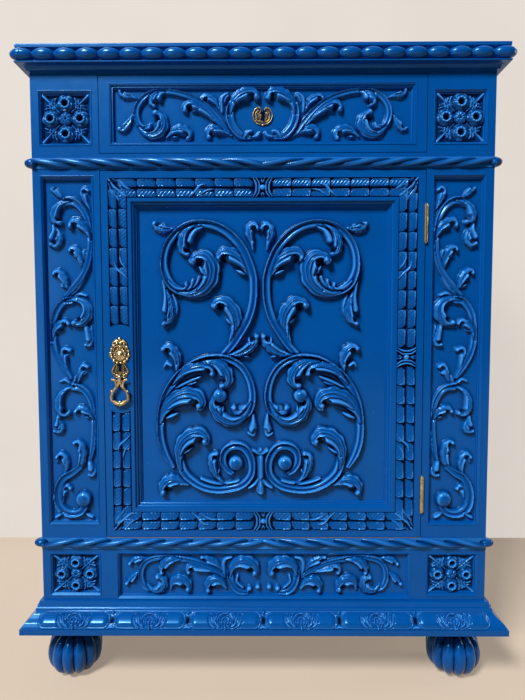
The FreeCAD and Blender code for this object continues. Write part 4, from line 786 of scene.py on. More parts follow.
def carve_pilasters():
    inner, bottom, width, tall = pilaster_fields["main"]
    for side, flip in (("left", False), ("right", True)):
        field = Carving(width, tall, 0.9)
        for entry in pilaster_carving:
            draw(field, *placed(entry, width, tall, flip))
        field.height *= 1.25
        left = inner if flip else -inner - width
        carved_skin("carved_pilaster_" + side, field, left, bottom, field_y, "carcass",
                    side + "_pilaster_carving")


def flower(field, x, z, radius, tall):
    """A domed flower: folded petals round a raised notched ring with a hole in it; the hole and the petal
    gaps are painted dark as shade, the ring gets a painted highlight.
    """
    reach = radius + 1
    rows, columns = field.window((x - reach, z - reach), (x + reach, z + reach))
    gx, gz = np.meshgrid(field.x[columns], field.z[rows])
    far = np.hypot(gx - x, gz - z) / radius
    turn = np.arctan2(gz - z, gx - x)
    fold = 0.5 + 0.5 * np.cos(turn * 5 + far * 2.4)
    edge = 0.95 + 0.05 * fold
    dome = 0.22 + 0.78 * np.sqrt(np.clip(1 - (far / edge) ** 2, 0, 1))
    petals = 1 - 0.22 * (1 - fold) ** 2 * np.clip((far - 0.55) * 4, 0, 1)
    ring = 0.20 * (0.5 + 0.5 * np.cos(turn * 9)) * np.exp(-((far - 0.47) / 0.08) ** 2)
    ring -= 0.16 * np.exp(-((far - 0.64) / 0.05) ** 2)
    hole = np.clip((far - 0.26) / 0.10, 0.03, 1)
    made = tall * (dome * petals + ring) * hole
    here = field.height[rows, columns]
    field.height[rows, columns] = np.where(far < edge, np.maximum(made, 0.2), here)
    # Painted shade in the hole and between the petals; painted highlight on the ring
    dark = np.maximum(np.clip((0.40 - far) * 8, 0, 1), np.clip((far - 0.56) * 5, 0, 0.5))
    field.dark[rows, columns] = np.where(far < 1.0, dark, field.dark[rows, columns])
    shine = 0.3 * np.exp(-((far - 0.46) / 0.06) ** 2)
    field.light[rows, columns] = np.where(far < edge, shine, field.light[rows, columns])


def rosette(width, tall, flip, radius, across, up, heart):
    """A sunk square: four flowers on its axes, a heart, and wedge-shaped leaves in the corners."""
    field = Carving(width, tall, 0.6)
    # Painted shade over the whole sunk floor
    field.dark[:] = 0.75
    cx, cz = width / 2, tall / 2
    out_x, out_z = cx - 2.0, cz - 2.0
    lean = -1 if flip else 1
    axes = ((1, 0), (-1, 0), (0, 1), (0, -1))
    for sx, sz in axes:
        x, z = cx + sx * across, cz + sz * up
        for side in (-1, 1):
            for gap, low, high in ((1.8, 34, 122), (5.4, 46, 108), (8.8, 56, 96)):
                facing = math.atan2(-sz, -sx)
                ring = [(x + (radius + gap) * math.cos(facing + side * a),
                         z + (radius + gap) * math.sin(facing + side * a))
                        for a in np.radians(np.linspace(low, high, 5))]
                ring = [(min(max(px, 2.0), width - 2.0), min(max(pz, 2.0), tall - 2.0))
                        for px, pz in ring]
                # The rings carry a painted highlight
                field.stroke(ring, (2.2, 3.4, 2.4), 5.4, rise=(0.9, 1.0), cut=1.0,
                             light=0.35)
    for sx in (-1, 1):
        for sz in (-1, 1):
            line = [(cx + sx * s * out_x, cz + sz * s * out_z) for s in (0.26, 0.55, 0.8, 0.98)]
            proud = 6.0 if sx * sz == lean else 5.0
            # The corner leaves carry a faint painted highlight
            field.stroke(line, (2.2, 2.4, 3.4, 5.6), proud, rise=(1.0, 0.8), cut=1.2,
                         light=0.15)
    for sx, sz in axes:
        flower(field, cx + sx * across, cz + sz * up, radius, 8.6)
    field.ball(cx, cz, heart, 7.8, 1.5)
    for turn in (20, 65, 110, 155):
        dx, dz = math.cos(math.radians(turn)) * heart, math.sin(math.radians(turn)) * heart
        field.groove(((cx - dx, cz - dz), (cx, cz), (cx + dx, cz + dz)), 1.9, 1.8)
    gx, gz = np.meshgrid(field.x, field.z)
    # No painted shade on the heart
    field.dark = np.where(np.hypot(gx - cx, gz - cz) < heart * 0.95, 0.0, field.dark)
    return field


def carve_rosettes():
    for level, radius, across, up, heart in (("upper", 12.9, 20.3, 20.3, 9.6),
                                             ("lower", 11.2, 20.4, 16.6, 8.2)):
        inner, bottom, width, tall = pilaster_fields[level]
        for side, flip in (("left", False), ("right", True)):
            field = rosette(width, tall, flip, radius, across, up, heart)
            left = inner if flip else -inner - width
            carved_skin(level + "_rosette_" + side, field, left, bottom, field_y, "carcass",
                        level + "_rosettes")


def edge_steps():
    """A small fillet and hollow round the inside of each sunk field's edge."""
    profile = ((-3.6, 0.2), (-3.0, -0.7), (-2.2, -0.7), (0.4, 2.0), (0.7, 4.6), (1.5, 5.0),
               (1.9, 6.2), (2.0, field_depth + 0.4))
    parts = []
    for place in pilaster_fields.values():
        right_side = framed(rectangle(place), profile)
        parts += [right_side, mirrored_shape(right_side)]
    parts.append(framed(rectangle(frieze_field), profile))
    shape = together(parts)
    piece("stepped_field_edges", *shape, "carcass", "blue_paint", 32.0)
    wider = ((-5.0, 0.2), (-4.4, -0.7), (-3.6, -0.7), (-1.6, 1.3), (-1.2, 2.2)) + profile[3:]
    shape = framed(rectangle(drawer_field), wider)
    piece("stepped_drawer_edge", *shape, "drawer", "blue_paint", 32.0)


def rectangle(place):
    """The edges of a sunk field: left, bottom, right and top."""
    left, bottom, width, tall = place
    return left, bottom, left + width, bottom + tall


def framed(edges, profile):
    """A closed moulding round the inside of a rectangle, from (inset, depth) pairs."""
    left, bottom, right, top = edges
    outline = list(profile) + [(profile[0][0], profile[-1][1])]
    vertices, faces = [], []
    for inset, depth in outline:
        y = front_y + depth
        vertices += [(left + inset, y, bottom + inset), (right - inset, y, bottom + inset),
                     (right - inset, y, top - inset), (left + inset, y, top - inset)]
    count = len(outline)
    for k in range(count):
        after = (k + 1) % count
        for c in range(4):
            d = (c + 1) % 4
            faces.append((k * 4 + c, k * 4 + d, after * 4 + d, after * 4 + c))
    return outward((np.array(vertices, float), faces))


# Repeated shapes, placed by Geometry Nodes

def repeating_tree():
    """Sets one shape again and again along a line, each turned by Angle more about Z."""
    tree = bpy.data.node_groups.new("repeated_shapes", "GeometryNodeTree")
    for name, kind in (("Shape", "Object"), ("Start", "Vector"), ("Step", "Vector"),
                       ("Count", "Int"), ("Angle", "Float"), ("Finish", "Material")):
        tree.interface.new_socket(name, in_out="INPUT", socket_type="NodeSocket" + kind)
    tree.interface.new_socket("Geometry", in_out="OUTPUT", socket_type="NodeSocketGeometry")
    given = tree.nodes.new("NodeGroupInput").outputs
    line = node(tree, "GeometryNodeMeshLine", {"mode": "OFFSET"}, {
        "Start Location": given["Start"], "Offset": given["Step"], "Count": given["Count"]})
    shape = node(tree, "GeometryNodeObjectInfo", {}, {"Object": given["Shape"]})
    index = tree.nodes.new("GeometryNodeInputIndex").outputs["Index"]
    angle = math_node(tree, "MULTIPLY", index, given["Angle"])
    turn = node(tree, "ShaderNodeCombineXYZ", {}, {"Z": angle})
    copies = node(tree, "GeometryNodeInstanceOnPoints", {}, {
        "Points": line.outputs["Mesh"], "Instance": shape.outputs["Geometry"],
        "Rotation": turn.outputs[0]})
    real = node(tree, "GeometryNodeRealizeInstances", {}, {"Geometry": copies.outputs["Instances"]})
    finish = node(tree, "GeometryNodeSetMaterial", {}, {
        "Geometry": real.outputs["Geometry"], "Material": given["Finish"]})
    node(tree, "NodeGroupOutput", {}, {"Geometry": finish.outputs["Geometry"]})
    return tree


repeats = repeating_tree()


def repeated(shape, start, count, step=(0.0, 0.0, 0.0), angle=0.0):
    """A shape set count times, each a step on and an angle round, as plain arrays."""
    mesh = bpy.data.meshes.new("repeated_shape")
    mesh.from_pydata((np.asarray(shape[0], float) * MM).tolist(), [], shape[1])
    mesh.validate()
    made = bpy.data.objects.new("repeated_shape", mesh)
    host = bpy.data.objects.new("repeat_host", bpy.data.meshes.new("repeat_host"))
    for thing in (made, host):
        bpy.context.scene.collection.objects.link(thing)
    modifier = host.modifiers.new("Repeat", "NODES")
    modifier.node_group = repeats
    sockets = {s.name: s.identifier for s in repeats.interface.items_tree if s.in_out == "INPUT"}
    for key, value in (("Shape", made), ("Start", tuple(v * MM for v in start)),
                       ("Step", tuple(v * MM for v in step)), ("Count", count),
                       ("Angle", angle), ("Finish", materials["blue_paint"])):
        modifier[sockets[key]] = value
    graph = bpy.context.evaluated_depsgraph_get()
    graph.update()
    result = bpy.data.meshes.new_from_object(host.evaluated_get(graph))
    places = np.zeros(len(result.vertices) * 3, np.float32)
    result.vertices.foreach_get("co", places)
    faces = [tuple(p.vertices) for p in result.polygons]
    bpy.data.objects.remove(host)
    bpy.data.objects.remove(made)
    bpy.data.meshes.remove(result)
    return places.reshape(-1, 3) / MM, faces


def together(parts):
    """Several shapes as one list of vertices and one of faces."""
    vertices, faces, start = [], [], 0
    for places, sides in parts:
        places = np.asarray(places, float)
        vertices.append(places)
        faces.extend([tuple(i + start for i in side) for side in sides])
        start += len(places)
    return np.vstack(vertices), faces


def mirrored_shape(shape, axis=0):
    places = np.array(shape[0], float)
    places[:, axis] *= -1
    return places, [tuple(reversed(side)) for side in shape[1]]


def moved(shape, offset):
    return np.asarray(shape[0], float) + np.asarray(offset, float), shape[1]


def tapered(path, across, through, sides=8, forward=(0.0, -1.0, 0.0)):
    """A closed rod along a path, oval in section and drawn to a point at both ends."""
    path = np.array(path, float)
    rows = len(path)
    heading = np.gradient(path, axis=0)
    heading /= np.linalg.norm(heading, axis=1)[:, None]
    out = np.tile(np.array(forward, float), (rows, 1))
    beside = np.cross(heading, out)
    beside /= np.maximum(np.linalg.norm(beside, axis=1), 1e-9)[:, None]
    out = np.cross(beside, heading)
    across = np.broadcast_to(across, rows)
    through = np.broadcast_to(through, rows)
    vertices = [path[0]]
    for k in range(1, rows - 1):
        for s in range(sides):
            a = 2 * math.pi * s / sides
            vertices.append(path[k] + beside[k] * math.cos(a) * across[k]
                            + out[k] * math.sin(a) * through[k])
    vertices.append(path[-1])
    faces = []
    last = len(vertices) - 1
    for s in range(sides):
        after = (s + 1) % sides
        faces.append((0, 1 + after, 1 + s))
        faces.append((last, last - sides + s, last - sides + after))
    for k in range(rows - 3):
        low = 1 + k * sides
        for s in range(sides):
            after = (s + 1) % sides
            faces.append((low + s, low + after, low + sides + after, low + sides + s))
    return outward((np.array(vertices), faces))


def outward(shape):
    """The same closed shape with its faces turned outwards."""
    places, faces = np.asarray(shape[0], float), shape[1]
    volume = 0.0
    for side in faces:
        for k in range(1, len(side) - 1):
            volume += np.dot(places[side[0]], np.cross(places[side[k]], places[side[k + 1]]))
    if volume < 0:
        return places, [tuple(reversed(side)) for side in faces]
    return places, list(faces)


def turned_shape(profile, sides=24):
    """A closed shape of revolution about the Z axis, from (radius, height) pairs."""
    vertices, faces, rings = [], [], []
    for radius, height in profile:
        if radius < 1e-6:
            rings.append([len(vertices)])
            vertices.append((0.0, 0.0, height))
            continue
        ring = []
        for s in range(sides):
            a = 2 * math.pi * s / sides
            ring.append(len(vertices))
            vertices.append((radius * math.cos(a), radius * math.sin(a), height))
        rings.append(ring)
    for low, high in zip(rings[:-1], rings[1:]):
        for s in range(sides):
            after = (s + 1) % sides
            if len(low) == 1:
                faces.append((low[0], high[after], high[s]))
            elif len(high) == 1:
                faces.append((low[s], low[after], high[0]))
            else:
                faces.append((low[s], low[after], high[after], high[s]))
    return outward((np.array(vertices), faces))


def box_shape(low, high):
    """A plain block between two corners."""
    x, y, z = zip(low, high)
    places = [(x[i], y[j], z[k]) for i in (0, 1) for j in (0, 1) for k in (0, 1)]
    sides = [(0, 1, 3, 2), (4, 6, 7, 5), (0, 4, 5, 1), (2, 3, 7, 6), (0, 2, 6, 4), (1, 5, 7, 3)]
    return outward((np.array(places, float), sides))


def sphere_shape(radii, sides=14, rings=9):
    profile = [(math.sin(math.pi * k / rings), -math.cos(math.pi * k / rings))
               for k in range(rings + 1)]
    profile[0], profile[-1] = (0.0, -1.0), (0.0, 1.0)
    places, faces = turned_shape(profile, sides)
    return places * np.array(radii), faces


# Ropes

rope_pitch = 39.0
upper_rope_top = 745.0
upper_rope_reach, lower_rope_reach = 8.0, 9.0


def strand(path, radius, forward=(0.0, -1.0, 0.0)):
    """One strand of a rope, drawn out thin at both ends."""
    size = np.full(len(path), radius)
    size[:3] = radius * np.array([0.2, 0.7, 0.95])
    size[-3:] = radius * np.array([0.95, 0.7, 0.2])
    return tapered(path, size, size, 10, forward)


def rope(name, low_z, high_z, reach, lean, knob_reach, stood_for, covered):
    """Three strands twisted round each other, turned the other way past the middle."""
    middle, half_height = (low_z + high_z) / 2, (high_z - low_z) / 2
    strands = 3
    radius = half_height * 0.54
    turns = np.radians(np.linspace(-140, 140, 23))
    twist = strand(np.stack([rope_pitch * strands / 2 * turns / math.pi * lean,
                             -(reach - radius) * np.cos(turns),
                             (half_height - radius) * np.sin(turns)], 1), radius)
    count = int(half_body / rope_pitch)
    start = rope_pitch * 0.5
    right = repeated(twist, (start, front_y, middle), count, (rope_pitch, 0, 0))
    left = repeated(mirrored_shape(twist), (-start, front_y, middle), count, (-rope_pitch, 0, 0))
    for side in (right, left):
        side[0][:, 0] = np.clip(side[0][:, 0], -half_body - 1.0, half_body + 1.0)
    strip_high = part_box(stood_for)[1] / MM
    core = box_shape((-half_body, front_y - 1.2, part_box(covered)[0].z / MM),
                     (half_body, strip_high.y, strip_high.z))
    knob = sphere_shape((knob_reach * 1.1, reach, half_height * 0.96))
    knobs = [moved(knob, (side * (half_body + 0.5), front_y + 1.0, middle)) for side in (-1, 1)]
    shape = together([right, left, core] + knobs)
    # Painted shade between the strands and painted highlight on their crowns, from how far a place lies
    # from the rope's axis
    depth = np.hypot((shape[0][:, 1] - front_y) / reach, (shape[0][:, 2] - middle) / half_height)
    made = piece(name, *shape, "carcass", "blue_paint", 60.0,
                 {"hollow": np.clip((0.98 - depth) * 1.9, 0, 0.85),
                  "ridge": np.clip((depth - 0.9) * 3.0, 0, 0.5)})
    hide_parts(stood_for, "rope_returns")


def side_rope(name, low_z, high_z, reach):
    """Two-strand ropes along both sides."""
    middle, half_height = (low_z + high_z) / 2, (high_z - low_z) / 2
    radius = half_height * 0.64
    turns = np.radians(np.linspace(-150, 150, 19))
    twist = strand(np.stack([(reach - radius) * np.cos(turns), rope_pitch * turns / math.pi,
                             (half_height - radius) * np.sin(turns)], 1), radius, (1.0, 0.0, 0.0))
    first_y = front_y + rope_pitch * 0.6
    parts = [repeated(twist, (half_body, first_y, middle), 9, (0, rope_pitch, 0)),
             repeated(mirrored_shape(twist), (-half_body, first_y, middle), 9,
                      (0, rope_pitch, 0))]
    made = piece(name, *together(parts), "carcass", "blue_paint")
    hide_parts("rope_returns")


def make_ropes():
    upper = (divider_bottom + 2, upper_rope_top, upper_rope_reach)
    lower = (sill_bottom, sill_top, lower_rope_reach)
    rope("upper_twisted_rope", *upper, 1, 9.0, "upper_rope_front", "upper_rope_front")
    rope("lower_twisted_rope", *lower, -1, 9.5, "lower_rope_front", "bottom_board")
    side_rope("upper_side_rope", *upper)
    side_rope("lower_side_rope", *lower)


# Cornice and base moulding, swept round the front and both sides with mitred corners

def mitred_skin(profile):
    """A closed moulding from (reach, height) pairs, its back standing just inside the body."""
    inner = 3.0
    outline = [(-inner, profile[0][1])] + list(profile) + [(-inner, profile[-1][1])]
    vertices, faces = [], []
    for reach, height in outline:
        x, y = half_body + reach, front_y - reach
        vertices += [(-x, back_y, height), (-x, y, height), (x, y, height), (x, back_y, height)]
    count = len(outline)
    for k in range(count):
        after = (k + 1) % count
        for s in range(3):
            faces.append((k * 4 + s, after * 4 + s, after * 4 + s + 1, k * 4 + s + 1))
    faces.append(tuple(k * 4 for k in range(count)))
    faces.append(tuple(k * 4 + 3 for k in range(count - 1, -1, -1)))
    return outward((np.array(vertices, float), faces))


def arc(start, end, bulge, steps):
    """Points of a shallow curve between two (reach, height) places."""
    points = []
    dx, dz = end[0] - start[0], end[1] - start[1]
    for k in range(1, steps):
        t = k / steps
        lift = 4 * bulge * t * (1 - t)
        points.append((start[0] + dx * t - dz * lift, start[1] + dz * t + dx * lift))
    return points


def make_cornice():
    low = cornice_bottom
    profile = [(3.0, low), (3.0, low + 0.6)]
    profile += arc((3.0, low + 0.6), (11.0, low + 6.0), 0.22, 8) + [(11.0, low + 6.0)]
    profile += [(13.8, low + 6.0), (14.6, low + 6.5), (14.6, low + 7.6), (13.9, low + 8.2),
                (10.0, low + 8.2), (9.0, low + 12.0), (9.5, low + 24.0), (12.0, low + 26.0)]
    shape = mitred_skin(profile)
    made = piece("swept_cornice", *shape, "carcass", "blue_paint", 32.0)
    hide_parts("cornice_front", "cornice_left", "cornice_right")
    pitch = 29.2
    bead = sphere_shape((pitch * 0.56, 9.4, 8.3), 18, 12)
    height = low + 17.2
    front = repeated(bead, (-11 * pitch, front_y - 10.2, height), 23, (pitch, 0, 0))
    side_bead = outward((bead[0][:, [1, 0, 2]] * np.array([1, -1, 1]), bead[1]))
    first = front_y - 10.2 + pitch * 0.62
    sides = [repeated(side_bead, (side * (half_body + 10.2), first, height), 14,
                      (0, pitch * 0.985, 0)) for side in (-1, 1)]
    rod = [outward(mitred_skin([(7.0, height - 3.0), (11.6, height - 2.4), (11.9, height),
                                (11.6, height + 2.4), (7.0, height + 3.0)]))]
    corners = [moved(sphere_shape((13.0, 10.0, 8.3), 16, 10),
                     (side * (half_body + 7.5), front_y - 10.0, height)) for side in (-1, 1)]
    shape = together([front] + sides + rod + corners)
    made = piece("cornice_bead_row", *shape, "carcass", "blue_paint")
    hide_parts("cornice_front", "cornice_left", "cornice_right")


base_reach = ((93.0, 23.0), (94.5, 22.6), (99.0, 19.5), (103.0, 14.5), (107.0, 10.2),
              (110.0, 8.4), (111.0, 8.0))
base_low, base_high = 93.0, 111.0


def cartouches(length, count):
    """Bulging pills in a row, each with a coiled palmette and curved leaves beside it."""
    tall = base_high - base_low + 2.0
    field = Carving(length, tall, 0.62)
    pitch = 106.6
    edge_room = (length - count * pitch) / 2
    middle = tall / 2
    gx, gz = np.meshgrid(field.x, field.z)
    for k in range(count):
        cx = edge_room + pitch * (k + 0.5)
        half = pitch / 2 - 2.6
        run = np.clip(np.abs(gx - cx) - (half - middle), 0, None)
        far = np.hypot(run, gz - middle) / (middle - 0.4)
        bulge = 0.8 + 3.0 * np.clip(1 - (far / 0.84) ** 2, 0, 1) ** 0.7
        line = 1.9 * np.exp(-((far - 0.93) / 0.05) ** 2)
        here = np.where(far < 1.0, bulge + line, 0.0)
        field.height = np.maximum(field.height, here)
        # Painted shade in the groove round each pill and a painted highlight on its outline
        field.dark = np.maximum(field.dark, 0.9 * np.exp(-((far - 0.84) / 0.03) ** 2))
        field.light = np.maximum(field.light, 0.8 * np.exp(-((far - 0.93) / 0.04) ** 2))
        # The palmette, stem and leaves carry a painted highlight
        for radius, size in ((3.6, 2.8), (8.0, 3.0)):
            ring = [(cx + radius * 1.35 * math.cos(a), middle - 1.6 + radius * math.sin(a))
                    for a in np.radians(np.linspace(-40, 220, 13))]
            field.stroke(ring, (size * 0.7, size, size * 0.7), 5.4, cut=2.4, light=0.2)
        field.stroke(((cx, middle - 1.0), (cx, middle - 4.5), (cx, middle - 8.5)),
                     (3.2, 1.8, 3.4), 5.0, cut=1.8, light=0.2)
        for side in (-1, 1):
            for reach, low, high in ((14.0, -7.5, 6.0), (20.5, -8.0, 4.0)):
                field.stroke(((cx + side * (reach - 6.5), middle + low),
                              (cx + side * (reach - 1.0), middle + low * 0.6),
                              (cx + side * (reach + 2.2), middle + high * 0.4),
                              (cx + side * (reach + 1.4), middle + high)),
                             (1.6, 3.6, 3.4, 1.6), 4.8, rise=(0.85, 1.0), cut=2.0,
                             light=0.2)
        edge = cx + pitch / 2
        if k < count - 1:
            # The pit between pills is painted dark as shade; the bud below it carries a painted highlight
            field.pit(edge, middle - 0.5, 5.0, 3.0)
            field.stroke(((edge - 5.0, middle - 8.6), (edge, middle - 7.2), (edge + 5.0, middle - 8.6)),
                         (1.6, 3.4, 1.6), 3.2, cut=0.6, light=0.5)
            field.stroke(((edge, middle + 9.0), (edge, middle + 6.0)), (5.0, 2.0), 2.6)
    return field


def make_base():
    profile = [(25.0, base_bottom), (25.0, base_low - 0.4), (23.2, base_low)]
    profile += [(reach, z) for z, reach in base_reach]
    profile += [(8.0, 114.4), (7.4, 115.2), (4.9, 115.4), (4.7, 115.9), (4.7, 121.6),
                (4.1, base_top), (0.0, base_top)]
    shape = mitred_skin(profile)
    made = piece("swept_base_moulding", *shape, "carcass", "blue_paint", 32.0)
    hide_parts("base_front", "base_left", "base_right")
    levels = np.array([z for z, r in base_reach])
    reaches = np.array([r for z, r in base_reach])

    def strip(name, length, count, side):
        field = cartouches(length, count)
        share_x, share_z = np.meshgrid(field.x / length, field.z / field.tall)
        heights = blurred(field.height, 1) * 0.3 + field.height * 0.7
        edge = np.minimum(share_x, 1 - share_x) * length
        heights = heights * np.clip(edge / 2.0, 0, 1)
        z = base_low + share_z * (base_high - base_low)
        reach = np.interp(z, levels, reaches) + 0.2
        rows = np.linspace(base_low, base_high, 60)
        tilt = np.interp(z, rows, np.gradient(np.interp(rows, levels, reaches), rows))
        size = np.sqrt(1 + tilt ** 2)
        out, up = heights / size, -heights * tilt / size
        if side == 0:
            limit = half_body + reach
            x = np.clip((share_x - 0.5) * length, -limit, limit)
            out = out * np.clip((limit - np.abs(x)) / 2.0, 0, 1)
            points = np.stack([x, front_y - reach - out, z + up], 2)
            back = (0.0, 0.8, -0.3)
        else:
            front = front_y - reach
            y = front + (back_y - front) * (share_x if side > 0 else 1 - share_x)
            points = np.stack([side * (half_body + reach + out), y, z + up], 2)
            back = (-side * 0.8, 0.0, -0.3)
        made = skin(name, points, back, "carcass", field.marks())
        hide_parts("base_front" if side == 0 else
                    ("base_right" if side > 0 else "base_left"))

    strip("carved_base_front", 2 * (half_body + base_reach[0][1]), 6, 0)
    strip("carved_base_left", 412.0, 3, -1)
    strip("carved_base_right", 412.0, 3, 1)


# Feet: melon shapes of lobes set round a core

def make_feet():
    count = 12
    path, across, through = [], [], []
    for share in np.linspace(0, 1, 19):
        angle = math.radians(-88 + 158 * share)
        radius = 30.5 * math.cos(angle) ** 0.8
        height = 32.0 + 29.0 * math.sin(angle)
        path.append((radius, 0.0, height))
        wide = max(radius, 2.0) * math.tan(math.pi / count) * 1.16
        across.append(wide)
        through.append(min(wide * 1.05, 8.8))
    lobe = tapered(path, across, through, 12, (1.0, 0.0, 0.0))
    core = turned_shape([(0, 0.0), (11, 0.0), (14, 3.0), (22, 10.0), (29, 20.0), (31.5, 33.0), (29, 46.0),
                         (22, 57.0), (15, 62.0), (15, 76.0), (0.0, 76.0)], 24)
    neck = turned_shape([(0, 58.0), (17, 58.5), (20, 61.0), (20, 63.5), (17, 66.0), (17, 69.0),
                         (24, 73.0), (31, 76.0), (33, 78.5), (33, 84.5), (0, 84.5)], 28)
    for name in ("front_left_foot", "front_right_foot", "rear_left_foot", "rear_right_foot"):
        low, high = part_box(name)
        x, y = (low.x + high.x) / 2 / MM, (low.y + high.y) / 2 / MM
        lobes = repeated(lobe, (x, y, 0.0), count, angle=2 * math.pi / count)
        places, sides = together([lobes, moved(core, (x, y, 0)), moved(neck, (x, y, 0))])
        places[:, 2] = np.maximum(places[:, 2], 0.0)
        # Painted shade in the grooves between the lobes, from how far a place lies inside the outermost
        # reach at its height
        from_axis = np.hypot(places[:, 0] - x, places[:, 1] - y)
        level = np.clip((places[:, 2] / 3.0).astype(int), 0, 40)
        crest = np.zeros(41)
        np.maximum.at(crest, level, from_axis)
        made = piece("lobed_" + name, places, sides, "carcass", "blue_paint", 50.0,
                     {"hollow": np.clip((crest[level] - from_axis - 1.5) / 5.0, 0, 0.85)})
        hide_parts(name)


# The carved band round the door

def relief_shape(field):
    """A small field as a closed shape lying in the XZ plane, its front towards -Y."""
    gx, gz = np.meshgrid(field.x, field.z)
    return closed_grid(np.stack([gx, -field.height, gz], 2), (0.0, 0.5, 0.0))[:2]


def band_leaf(length, width, period, flute, lean):
    """One leaf of the band: a proud round end, a straight bright edge, flutes and a low tail."""
    field = Carving(length, width, 0.86)
    gx, gz = np.meshgrid(field.x, field.z)
    from_edge = width - gz
    across = np.minimum(gz, from_edge) + 0.05
    corner = 3.8
    in_x, in_z = corner - gx, corner - across
    rounded = np.where((in_x > 0) & (in_z > 0), corner - np.hypot(in_x, in_z),
                       np.minimum(gx, across))
    flutes = 0.5 + 0.5 * np.cos((gx + lean * gz * 0.85) * 2 * math.pi / period)
    inside = np.clip((np.minimum(from_edge, rounded + 0.6) - 2.0) / 1.2, 0, 1)
    body = 3.3 + 1.9 * np.sqrt(np.clip(1 - ((gz - width * 0.5) / (width * 0.62)) ** 2, 0, 1))
    body -= (flute * flutes + 0.3) * inside
    body -= 1.8 * np.clip(gx / length, 0, 1) ** 1.3
    body += 0.9 * np.exp(-((rounded - 1.3) / 0.8) ** 2) * (gx < length * 0.4)
    body += 1.1 * np.exp(-((from_edge - 1.3) / 0.9) ** 2)
    tail = (length + 1.4 - gx) - 6.4 * np.clip(1 - from_edge / 6.0, 0, 1) ** 1.2
    edge = np.minimum(rounded, np.clip(tail, 0, None))
    field.height = np.clip(body * np.sqrt(np.clip(edge / 2.2, 0, 1)), 0.15, None)
    return relief_shape(field)


band_outer_x, band_outer_low, band_outer_high = 213.3, 224.6, 718.4
band_width = 27.0
band_floor_y = front_y + 3.5
band_step = 26.6
knot_half = 13.5
corner_size = 32.0
crossing_long = 38.0


def band_arm(count):
    """Two rows of leaves that run left from a knot at the origin, the inner row below."""
    row_width = 12.2
    parts = []
    for offset, period, flute, lean in ((row_width + 1.9, 4.9, 0.7, 1), (0.4, 5.2, 0.75, -1)):
        shape = band_leaf(band_step - 0.1, row_width, period, flute, lean)
        parts.append(repeated(shape, (-count * band_step, 0, offset), count, (band_step, 0, 0)))
    return together(parts)


def sideways(shape):
    """A shape turned so that what ran left runs up, and its top faces right."""
    places = np.array(shape[0], float)
    return np.stack([places[:, 2], places[:, 1], -places[:, 0]], 1), shape[1]


def band_corner():
    """The top left corner: ribs that fan out along the diagonal."""
    field = Carving(corner_size, corner_size, 0.6)
    for points, sizes, lift in (
            (((1.2, 30.8), (4.0, 27.5), (7.0, 25.5)), (3.0, 5.0, 2.4), 5.6),
            (((1.6, 24.5), (3.4, 21.5), (6.0, 20.5)), (2.4, 4.0, 2.0), 5.0),
            (((7.5, 30.6), (10.4, 28.6), (11.6, 26.0)), (2.4, 4.0, 2.0), 5.0),
            (((5.5, 25.0), (10.0, 18.5), (17.0, 12.5), (25.5, 7.0)), (3.0, 5.6, 6.0, 3.4), 6.0),
            (((12.5, 28.5), (17.5, 27.0), (22.5, 21.0), (30.5, 16.4)), (3.0, 6.0, 5.6, 3.4), 5.4),
            (((3.4, 19.5), (5.2, 14.0), (11.0, 9.0), (15.6, 1.4)), (3.0, 6.0, 5.6, 3.4), 5.4),
            (((14.5, 22.5), (20.0, 17.2), (27.0, 12.4)), (2.2, 4.0, 2.4), 4.8),
            (((9.5, 15.5), (15.0, 10.0), (20.4, 4.6)), (2.2, 4.0, 2.4), 4.8)):
        section = "rib" if len(points) == 4 else "dome"
        field.stroke(points, sizes, lift, section, cut=1.6)
    gx, gz = np.meshgrid(field.x, field.z)
    outside = (gx > 27.0) & (gz < 5.0)
    field.height = np.where(outside, 0.1, np.maximum(field.height, 0.1))
    return cut_out(field, 0.6, 0.5)


def band_knot():
    """Two pairs of crescents back to back, with a ball between them."""
    field = Carving(2 * knot_half, 2 * knot_half, 0.7)
    middle = knot_half
    for side in (-1, 1):
        for far, near, size in ((13.0, 8.6, 4.2), (9.2, 4.6, 3.6)):
            field.stroke(((0.8, middle + side * far), (middle - 6.5, middle + side * near * 1.12),
                          (middle, middle + side * near), (middle + 6.5, middle + side * near * 1.12),
                          (26.2, middle + side * far)), (2.6, size, size, size, 2.6), 5.6,
                         cut=0.8)
            field.stroke(((middle + far * side, middle - 2.2), (middle + side * 7.0, middle),
                          (middle + far * side, middle + 2.2)), (2.0, 3.4, 2.0), 4.8)
    field.ball(middle, middle, 4.2, 6.2, 2.6)
    return cut_out(field, 0.6, 0.5)


def band_crossing():
    """A pair of stems that cross from the inner row to the outer one."""
    field = Carving(crossing_long, 24.0, 0.6)
    for points, sizes in ((((1.0, 0.8), (5.3, 4.4), (9.7, 9.0), (14.4, 14.8), (19.0, 17.4),
                            (24.0, 17.8)), (1.8, 3.6, 5.0, 5.4, 4.6, 2.0)),
                          (((15.0, 2.4), (19.5, 6.2), (23.5, 8.8), (29.5, 10.6), (36.4, 10.8)),
                           (1.8, 3.8, 4.6, 4.0, 1.8))):
        field.stroke(points, sizes, 5.8, rise=(0.95, 1.0), cut=1.0)
    return cut_out(field, 0.6, 0.5)


